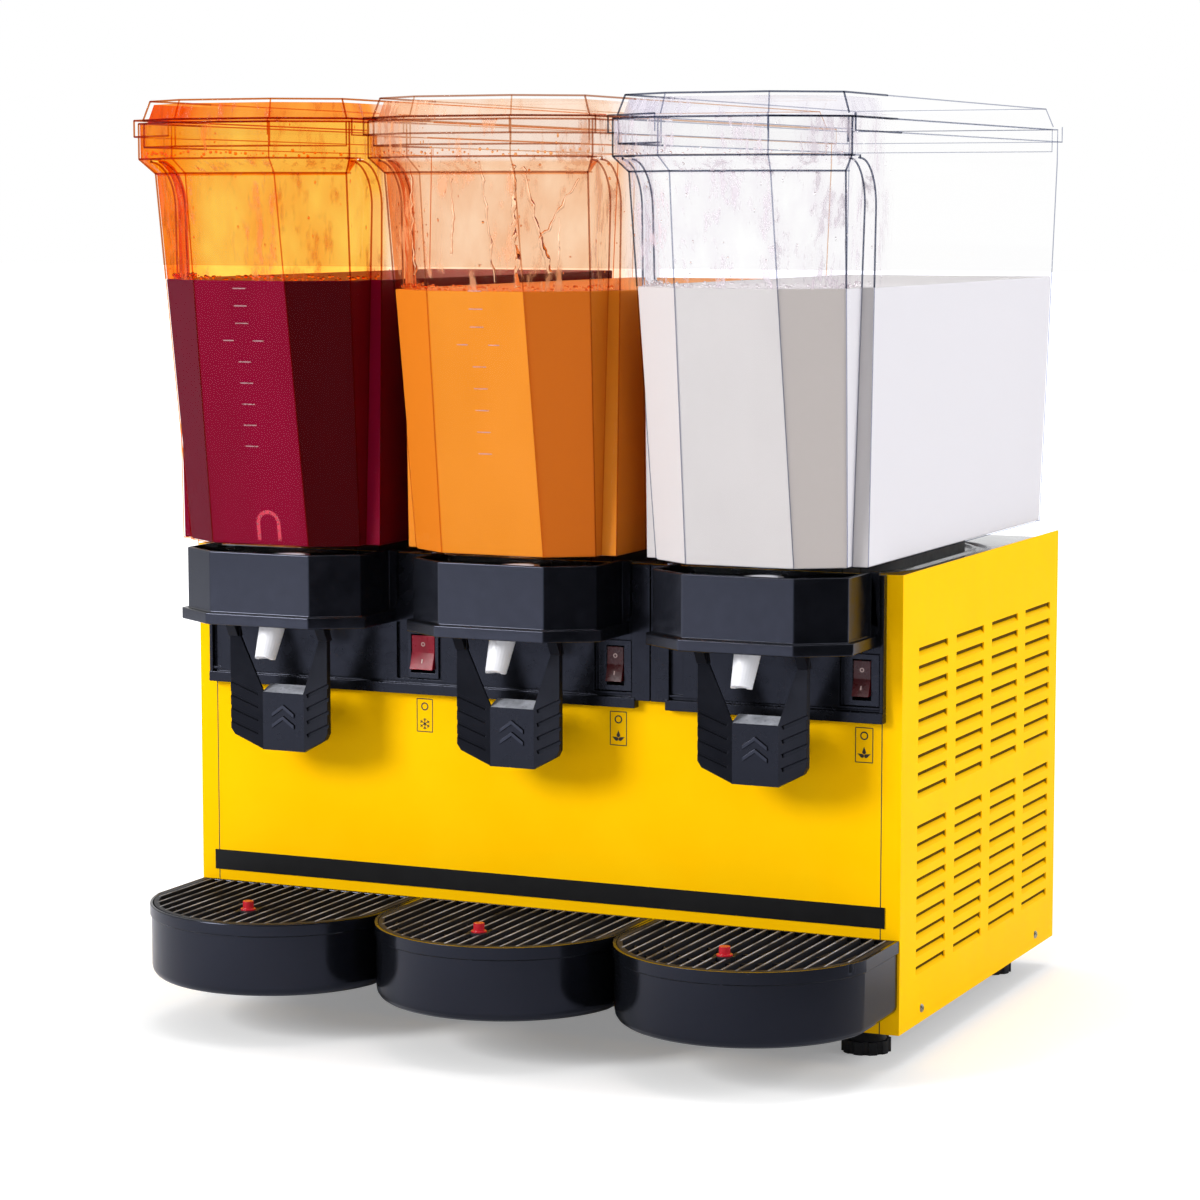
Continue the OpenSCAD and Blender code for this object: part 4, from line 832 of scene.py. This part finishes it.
def tickMesh(bay):
    marks = tickMarks
    ticks = [(0, marks["shortMm"], marks["longAbove"] + k * marks["upperStep"])
             for k in range(1, marks["upper"] + 1)]
    ticks += [(0, marks["shortMm"], marks["longAbove"] - k * marks["lowerStep"])
              for k in range(1, marks["lower"] + 1)]
    ticks += [(side * marks["numberGapMm"], marks["longMm"], marks["longAbove"]) for side in (-1, 1)]
    plates = [plateMesh("tick", barOutline(x - wide / 2, 0, x + wide / 2, 0, marks["strokeMm"]), marks["raisedMm"],
                        noseFrame(bay, above)) for x, wide, above in ticks]
    return joinMeshes(bay + "_litre_marks", plates)


for bay in ("left", "middle"):
    newPiece(bay + "_litre_marks", tickMesh(bay), bay + "_tank", frostedTick)

# Hood over the outlet, which shows through the red drink as a paler arch
outletArch = {"across": 8.7, "above": 4, "sunk": 0.32, "half": 10.5, "high": 24, "stroke": 3.0, "thick": 0.1,
              "steps": 16}


def archMesh(bay):
    arch = outletArch
    turns = [math.pi * k / arch["steps"] for k in range(arch["steps"] + 1)]
    straight = arch["high"] - arch["half"]
    outer, inner = [[(radius, 0)] + [(radius * math.cos(a), straight + radius * math.sin(a)) for a in turns]
                    + [(-radius, 0)] for radius in (arch["half"], arch["half"] - arch["stroke"])]
    place = noseFrame(bay, arch["above"]) @ Matrix.Translation((arch["across"] * mm, 0, -arch["sunk"] * mm))
    return plateMesh(bay + "_outlet_arch", outer + inner[::-1], arch["thick"], place)


newPiece("left_outlet_arch", archMesh("left"), "left_tank", frostedHood)

# Legends beside the switches: a frame with a ring for off and a sign for what the switch runs
legends = {
    "cooling": {"x": -96.3, "sign": "snow"}, "middle_pump": {"x": 70.5, "sign": "drops"},
    "right_pump": {"x": 270.5, "sign": "drops"},
}
legendSize = {"low": 205, "wide": 13.6, "tall": 26, "stroke": 0.7, "thick": 0.12, "signAt": 0.24, "ringAt": 0.77,
              "ring": 3.2, "ringStroke": 1.0, "snow": 4.6, "drops": 4.4}
snowflake = {"arms": 6, "turn": 30, "twigLean": 0.9, "twigAt": 0.6, "twig": 0.38, "twigStroke": 0.8}
# Turn and place of each drop, the height of its tip, and its round end
dropShape = {"places": ((0, 0, 0.62), (65, -0.62, -0.2), (-65, 0.62, -0.2)), "tip": 0.62, "low": -0.3, "end": 0.34,
             "steps": 11}


def frontPlace(x, fromFront, above):
    spot = Vector((x * mm, frontY - fromFront * mm, panelZ + above * mm))
    return Matrix.Translation(spot) @ Matrix(((1, 0, 0), (0, 0, -1), (0, 1, 0))).to_4x4()


def snowSign(radius, stroke):
    flake = snowflake
    outlines = []
    for k in range(flake["arms"]):
        turn = math.radians(60 * k + flake["turn"])
        tip = Vector((math.cos(turn), math.sin(turn)))
        outlines.append(barOutline(0, 0, tip.x * radius, tip.y * radius, stroke))
        fork = tip * radius * flake["twigAt"]
        for lean in (turn - flake["twigLean"], turn + flake["twigLean"]):
            twig = fork + Vector((math.cos(lean), math.sin(lean))) * radius * flake["twig"]
            outlines.append(barOutline(fork.x, fork.y, twig.x, twig.y, stroke * flake["twigStroke"]))
    return outlines


def dropSign(radius):
    shape = dropShape
    turns = [math.radians(60 + 24 * k) for k in range(shape["steps"])]
    drop = [Vector((0, shape["tip"]))]
    drop += [Vector((shape["end"] * math.sin(a), shape["low"] + shape["end"] * math.cos(a))) for a in turns]
    outlines = []
    for turn, x, y in shape["places"]:
        spin = Matrix.Rotation(math.radians(turn), 2)
        outlines.append([tuple((spin @ p + Vector((x, y))) * radius) for p in drop])
    return outlines


def legendMesh(name, legend):
    size = legendSize
    place = frontPlace(legend["x"], 0, size["low"])
    w, h, s = size["wide"] / 2, size["tall"], size["stroke"]
    outlines = [barOutline(-w, 0, w, 0, s), barOutline(-w, h, w, h, s), barOutline(-w, 0, -w, h, s),
                barOutline(w, 0, w, h, s)]
    signs = snowSign(size["snow"], s) if legend["sign"] == "snow" else dropSign(size["drops"])
    outlines += [[(x, y + h * size["signAt"]) for x, y in sign] for sign in signs]
    plates = [plateMesh("legend", outline, size["thick"], place) for outline in outlines]
    ringPlace = place @ Matrix.Translation((0, h * size["ringAt"] * mm, 0))
    plates.append(ringMesh("legend", size["ring"], size["ringStroke"], size["thick"], ringPlace))
    return joinMeshes(name, plates)


for name, legend in legends.items():
    newPiece(name + "_legend", legendMesh(name + "_legend", legend), "housing", inkAndSeamShade)

# Seams between the front sheet and the side panels' front edges: thin dark plates of painted shade in the gaps
seams = {"across": 284.5, "low": 0, "high": 238, "wide": 0.8, "thick": 0.06}
seamOutline = barOutline(0, seams["low"], 0, seams["high"], seams["wide"])
seamPlates = [plateMesh("seam", seamOutline, seams["thick"], frontPlace(side * seams["across"], 0, 0))
              for side in (-1, 1)]
newPiece("front_seams", joinMeshes("front_seams", seamPlates), "housing", inkAndSeamShade)
print("marks and legends placed")

# Raised arrow on each lever's plate, pointing the way it is pushed
leverArrow = {"fromFront": 42, "above": 211, "raise": 1.3, "sunk": 0.2, "half": 10, "rise": 7, "stroke": 3.4, "gap": 9,
              "edge": 0.35}


def arrowMesh(bay):
    arrow = leverArrow
    place = frontPlace(bayX[bay] / mm, arrow["fromFront"] - arrow["sunk"], arrow["above"])
    half, stroke = arrow["half"], arrow["stroke"]
    plates = []
    for low in (-arrow["gap"] / 2, arrow["gap"] / 2):
        tip = low + arrow["rise"]
        outline = [(-half, low), (0, tip), (half, low), (half, low + stroke), (0, tip + stroke), (-half, low + stroke)]
        plates.append(plateMesh("arrow", outline, arrow["raise"] + arrow["sunk"], place))
    return roundedMesh(joinMeshes(bay + "_lever_arrow", plates), arrow["edge"], 2)


# Pale line and ring on each rocker, on the two halves of its face
rockerFace = {"flatFront": 4.8, "leanFront": 6.9, "lean": 18, "upper": 7.4, "lower": -5.8, "thick": 0.15,
              "lineHalf": 1.6, "lineWide": 0.9, "ring": 1.7, "ringWide": 0.7}


def rockerMarks(bay):
    face = rockerFace
    x = middleOf(bay + "_rocker")[0] / mm
    height = (switchZ - panelZ) / mm
    upper = frontPlace(x, face["flatFront"], height + face["upper"])
    lower = frontPlace(x, face["leanFront"], height + face["lower"])
    lower = lower @ Matrix.Rotation(math.radians(-face["lean"]), 4, "X")
    outline = barOutline(0, -face["lineHalf"], 0, face["lineHalf"], face["lineWide"])
    return joinMeshes(bay + "_rocker_marks", [
        plateMesh("line", outline, face["thick"], lower),
        ringMesh("ring", face["ring"], face["ringWide"], face["thick"], upper)])


for bay in bays:
    newPiece(bay + "_lever_arrow", arrowMesh(bay), bay + "_push_lever", blackAbs)
    newPiece(bay + "_rocker_marks", rockerMarks(bay), bay + "_rocker", paleFoil)
print("lever arrows and rocker marks placed")

# Pan-head screws with a cross recess, on the side and rear panels
screw = {"radius": 3.4, "topShare": 0.15, "dome": 1.7, "levels": (0.0, 0.35, 0.7, 0.9, 1.0), "sides": 20,
         "recess": 1.9, "recessWide": 0.8, "recessDeep": 0.9,
         "sideAbove": 10.5, "sideBack": (51, 342), "rearAcross": (-288, 0, 288), "rearAbove": (12, 318)}


def screwHead():
    rings = []
    for share in screw["levels"]:
        rise = share * math.pi / 2
        radius = screw["radius"] * (math.cos(rise) * (1 - screw["topShare"]) + screw["topShare"])
        rings.append([Vector((x, y, screw["dome"] * math.sin(rise))) * mm
                      for x, y in circlePoints(radius, screw["sides"])])
    head = linkedObject("screw_blank", loftMesh("screw_blank", rings))
    recessFloor = Matrix.Translation((0, 0, (screw["dome"] - screw["recessDeep"]) * mm))
    outline = barOutline(-screw["recess"], 0, screw["recess"], 0, screw["recessWide"])
    cutters = []
    for turn in (0, 90):
        place = recessFloor @ Matrix.Rotation(math.radians(turn), 4, "Z")
        cutters.append(linkedObject("recess", plateMesh("recess", outline, 2 * screw["recessDeep"], place)))
        cut = head.modifiers.new("recess", "BOOLEAN")
        cut.object = cutters[-1]
        cut.solver = "EXACT"
    made = evaluatedMesh(head)
    for cutter in cutters:
        bpy.data.objects.remove(cutter)
    return made


def screwGroup():
    tree, given = newGroup("set_screws", {"Head": "Object", "Finish": "Material"})
    facing = addNode(tree, "GeometryNodeInputNamedAttribute", {"Name": "facing"}, data_type="FLOAT_VECTOR")
    turned = addNode(tree, "FunctionNodeAlignRotationToVector", {"Vector": facing}, axis="Z")
    head = addNode(tree, "GeometryNodeObjectInfo", {"Object": given["Head"]}).outputs["Geometry"]
    heads = addNode(tree, "GeometryNodeInstanceOnPoints", {
        "Points": given["Geometry"], "Instance": head, "Rotation": turned})
    return endGroup(tree, heads, given["Finish"])


def pointMesh(name, spots):
    points = bpy.data.meshes.new(name)
    points.from_pydata(spots, [], [])
    return points


def setScrews():
    spots = [((x, frontY + back * mm, panelZ + screw["sideAbove"] * mm), (facing, 0, 0))
             for facing, x in ((-1, leftX), (1, rightX)) for back in screw["sideBack"]]
    spots += [((across * mm, rearY, panelZ + above * mm), (0, 1, 0))
              for across in screw["rearAcross"] for above in screw["rearAbove"]]
    points = pointMesh("screw_points", [spot for spot, facing in spots])
    ways = points.attributes.new("facing", "FLOAT_VECTOR", "POINT")
    ways.data.foreach_set("vector", [c for spot, facing in spots for c in facing])
    head = linkedObject("screw_head", screwHead())
    mesh = grownMesh(screwGroup(), points, {"Head": head, "Finish": zincPlate})
    bpy.data.objects.remove(head)
    mesh.shade_flat()
    newPiece("panel_screws", mesh, "housing")


setScrews()
print("screws set")

# Pale rods along the grilles' slat crests, clear of the float's hub: painted highlights in patches
crests = {"pitch": 10.6, "rim": 4, "arc": 98.3, "hub": 12, "radius": 0.8, "sunk": 0.4, "endGap": 1}


def crestHighlightRods(bay):
    low, high = [Vector(corner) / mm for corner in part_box(bay + "_drip_grille")]
    hub = middleOf(bay + "_float")[1] / mm
    arc = crests["arc"] - crests["rim"] / 2
    count = math.floor((high.x - low.x - 2 * crests["rim"]) / crests["pitch"])
    lines = []
    for k in range(count + 1):
        x = (k - count / 2) * crests["pitch"]
        start = low.y + crests["arc"] - math.sqrt(arc * arc - x * x) + crests["endGap"]
        end = high.y - crests["endGap"]
        stretches = [(start, end)]
        if abs(x) < crests["hub"]:
            stretches = [(start, hub - crests["hub"]), (hub + crests["hub"], end)]
        for ends in stretches:
            points = [Vector(((low.x + high.x) / 2 + x, y, high.z - crests["sunk"])) * mm for y in ends]
            lines.append(pathMesh("crest", points))
    return grownMesh(corners, joinMeshes("crests", lines), {
        "Least": -1.0, "Most": math.pi, "Radius": crests["radius"] * mm, "Finish": paleCrestHighlight})


for bay in bays:
    newPiece(bay + "_slat_crests", crestHighlightRods(bay), bodyOfNode[bay + "_drip_grille"])
print("slat crest highlights placed")

# Slits of the louvres: a dark screen of painted shade behind the gap over each blade, on both sides and the rear
louvres = {"front": 37, "step": 88.5, "long": 68, "row": 13.5, "rows": 9, "columns": 4, "top": 58, "slitHigh": 3.4,
           "slitShort": 1, "tucked": 0.5, "deep": 1.25, "thick": 0.2}


def slitGroup():
    tree, given = newGroup("louvre_slits", {"Size": "Vector", "Finish": "Material"})
    bar = addNode(tree, "GeometryNodeMeshCube", {"Size": given["Size"]})
    bars = addNode(tree, "GeometryNodeInstanceOnPoints", {"Points": given["Geometry"], "Instance": bar})
    return endGroup(tree, bars, given["Finish"])


# The side panels have two blocks of louvres, one over the other, and the rear panel has one
def slitMesh(tree, panel, size, spotOf):
    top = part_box(panel)[1][2] - (louvres["top"] + louvres["slitHigh"] / 2 - louvres["tucked"]) * mm
    blockRows = louvres["rows"] + 1
    rows = [row for row in range(2 * blockRows) if row % blockRows < louvres["rows"]]
    if panel == "rear_panel":
        rows = rows[:louvres["rows"]]
    spots = [spotOf(louvres["step"] * column * mm, top - row * louvres["row"] * mm)
             for row in rows for column in range(louvres["columns"])]
    mesh = grownMesh(tree, pointMesh("slit_points", spots), {"Size": Vector(size) * mm, "Finish": slitShade})
    mesh.shade_flat()
    return mesh


def shadeSlits():
    tree = slitGroup()
    along, deep = louvres["long"] - louvres["slitShort"], louvres["deep"] * mm
    start = frontY + (louvres["front"] + louvres["long"] / 2) * mm
    rearStart = -(louvres["step"] * (louvres["columns"] - 1)) / 2 * mm
    sideSize = (louvres["thick"], along, louvres["slitHigh"])
    rearSize = (along, louvres["thick"], louvres["slitHigh"])
    meshes = [
        slitMesh(tree, "left_side_panel", sideSize, lambda run, z: (leftX + deep, start + run, z)),
        slitMesh(tree, "right_side_panel", sideSize, lambda run, z: (rightX - deep, start + run, z)),
        slitMesh(tree, "rear_panel", rearSize, lambda run, z: (rearStart + run, rearY - deep, z)),
    ]
    newPiece("louvre_slits", joinMeshes("louvre_slits", meshes), "housing", slitShade)


shadeSlits()
print("louvre slit shade placed")

# Stage, light and camera: what is mirrored goes from pale to dark over the spans given
stage = {
    "floor": "#F4F4F4", "size": 30, "worldFill": 0.5, "nearLift": 0.24, "farLift": 1.0, "near": 0.75, "far": 1.7,
    "floorPale": "#E4E7F2", "floorDark": "#1C1D22", "floorAcross": (-0.4, 1.2), "floorBack": (-0.1, 0.3),
    "mirrorLeft": 0.75, "mirrorRight": 0.04, "mirrorBehind": 0.9, "mirrorAcross": (-0.35, 0.3),
    "mirrorBack": (0.3, 0.8), "backdrop": (0.0, 0.25),
}


# White sweep: keeps the shadow near the object and fades to plain white further off
def whiteFloor():
    material, tree = newMaterial("white_studio_floor")
    path = addNode(tree, "ShaderNodeLightPath").outputs
    place = addNode(tree, "ShaderNodeTexCoord").outputs["Object"]
    spot = addNode(tree, "ShaderNodeSeparateXYZ", [place]).outputs
    across = addNode(tree, "ShaderNodeMapRange", [spot["X"], *stage["floorAcross"], 1.0, 0.0])
    back = addNode(tree, "ShaderNodeMapRange", [spot["Y"], *stage["floorBack"], 0.0, 1.0])
    pale = addNode(tree, "ShaderNodeMath", [across, back], operation="MAXIMUM")
    mirrored = addNode(tree, "ShaderNodeMix", {
        "Factor": pale, "A": hexColour(stage["floorDark"]), "B": hexColour(stage["floorPale"])}, data_type="RGBA")
    tint = addNode(tree, "ShaderNodeMix", {
        "Factor": path["Is Glossy Ray"], "A": hexColour(stage["floor"]), "B": mirrored}, data_type="RGBA")
    matt = addNode(tree, "ShaderNodeBsdfDiffuse", {"Color": tint})
    away = addNode(tree, "ShaderNodeVectorMath", [place], operation="LENGTH")
    lift = addNode(tree, "ShaderNodeMapRange", [away, stage["near"], stage["far"], stage["nearLift"],
                                                stage["farLift"]])
    glow = addNode(tree, "ShaderNodeEmission", {"Color": white, "Strength": lift})
    both = addNode(tree, "ShaderNodeAddShader", [matt, glow])
    seen = addNode(tree, "ShaderNodeMath", [path["Is Camera Ray"], path["Is Transmission Ray"]], operation="MAXIMUM")
    finishMaterial(material, tree, addNode(tree, "ShaderNodeMixShader", [seen, matt, both]))
    s = stage["size"]
    mesh = meshFrom("studio_floor", [(-s, -s, 0), (s, -s, 0), (s, s, 0), (-s, s, 0)], [[0, 1, 2, 3]])
    mesh.materials.append(material)
    linkedObject("studio_floor", mesh)


# The room mirrors bright on the left and dark on the right, so that turned faces part from each other
def whiteWorld():
    world = bpy.data.worlds.new("studio_world")
    world.use_nodes = True
    tree = world.node_tree
    tree.nodes.clear()
    toward = addNode(tree, "ShaderNodeTexCoord").outputs["Generated"]
    way = addNode(tree, "ShaderNodeSeparateXYZ", [toward]).outputs
    path = addNode(tree, "ShaderNodeLightPath").outputs
    sides = addNode(tree, "ShaderNodeMapRange", [way["X"], *stage["mirrorAcross"], stage["mirrorLeft"],
                                                 stage["mirrorRight"]])
    mirrored = addNode(tree, "ShaderNodeMapRange", [way["Y"], *stage["mirrorBack"], sides, stage["mirrorBehind"]])
    strength = stage["worldFill"]
    backdrop = addNode(tree, "ShaderNodeMapRange", [way["Y"], *stage["backdrop"], mirrored, 1.0])
    for ray, light in (("Is Glossy Ray", mirrored), ("Is Transmission Ray", backdrop), ("Is Camera Ray", 1.0)):
        strength = addNode(tree, "ShaderNodeMapRange", [path[ray], 0.0, 1.0, strength, light])
    sky = addNode(tree, "ShaderNodeBackground", {"Color": white, "Strength": strength})
    addNode(tree, "ShaderNodeOutputWorld", {"Surface": sky})
    bpy.context.scene.world = world


softboxes = {
    "key": {"place": (-2.4, -3.4, 2.0), "aim": (0, -0.1, 0.35), "size": 1.5, "power": 160, "mirrored": True},
    "fill": {"place": (3.0, 0.3, 1.4), "aim": (0.1, 0, 0.35), "size": 1.5, "power": 45, "mirrored": False},
    "top": {"place": (0.1, 0.2, 2.4), "aim": (0, 0, 0.3), "size": 1.8, "power": 25, "mirrored": True},
}


def lightStudio():
    for name, box in softboxes.items():
        lamp = bpy.data.lights.new("softbox_" + name, "AREA")
        lamp.energy = box["power"]
        lamp.size = box["size"]
        holder = linkedObject("softbox_" + name, lamp)
        holder.visible_glossy = box["mirrored"]
        holder.location = box["place"]
        holder.rotation_euler = (Vector(box["aim"]) - Vector(box["place"])).to_track_quat("-Z", "Y").to_euler()


# The camera stands where the photograph's perspective puts it: seen from the right, a little above
cameraPlace = {"fromFront": (1131.4, -2382.9, 616.2), "yaw": 24.31, "pitch": 6.54, "lens": 103.1, "sensor": 36,
               "clipEnd": 100}


def standCamera():
    lens = bpy.data.cameras.new("photo_camera")
    lens.lens = cameraPlace["lens"]
    lens.sensor_width = cameraPlace["sensor"]
    lens.clip_end = cameraPlace["clipEnd"]
    camera = linkedObject("photo_camera", lens)
    x, y, z = cameraPlace["fromFront"]
    camera.location = (x * mm, frontY + y * mm, panelZ + z * mm)
    camera.rotation_euler = (math.radians(90 - cameraPlace["pitch"]), 0, math.radians(cameraPlace["yaw"]))
    bpy.context.scene.camera = camera


whiteFloor()
whiteWorld()
lightStudio()
standCamera()
bpy.context.scene.view_settings.view_transform = "Standard"
print("stage set")
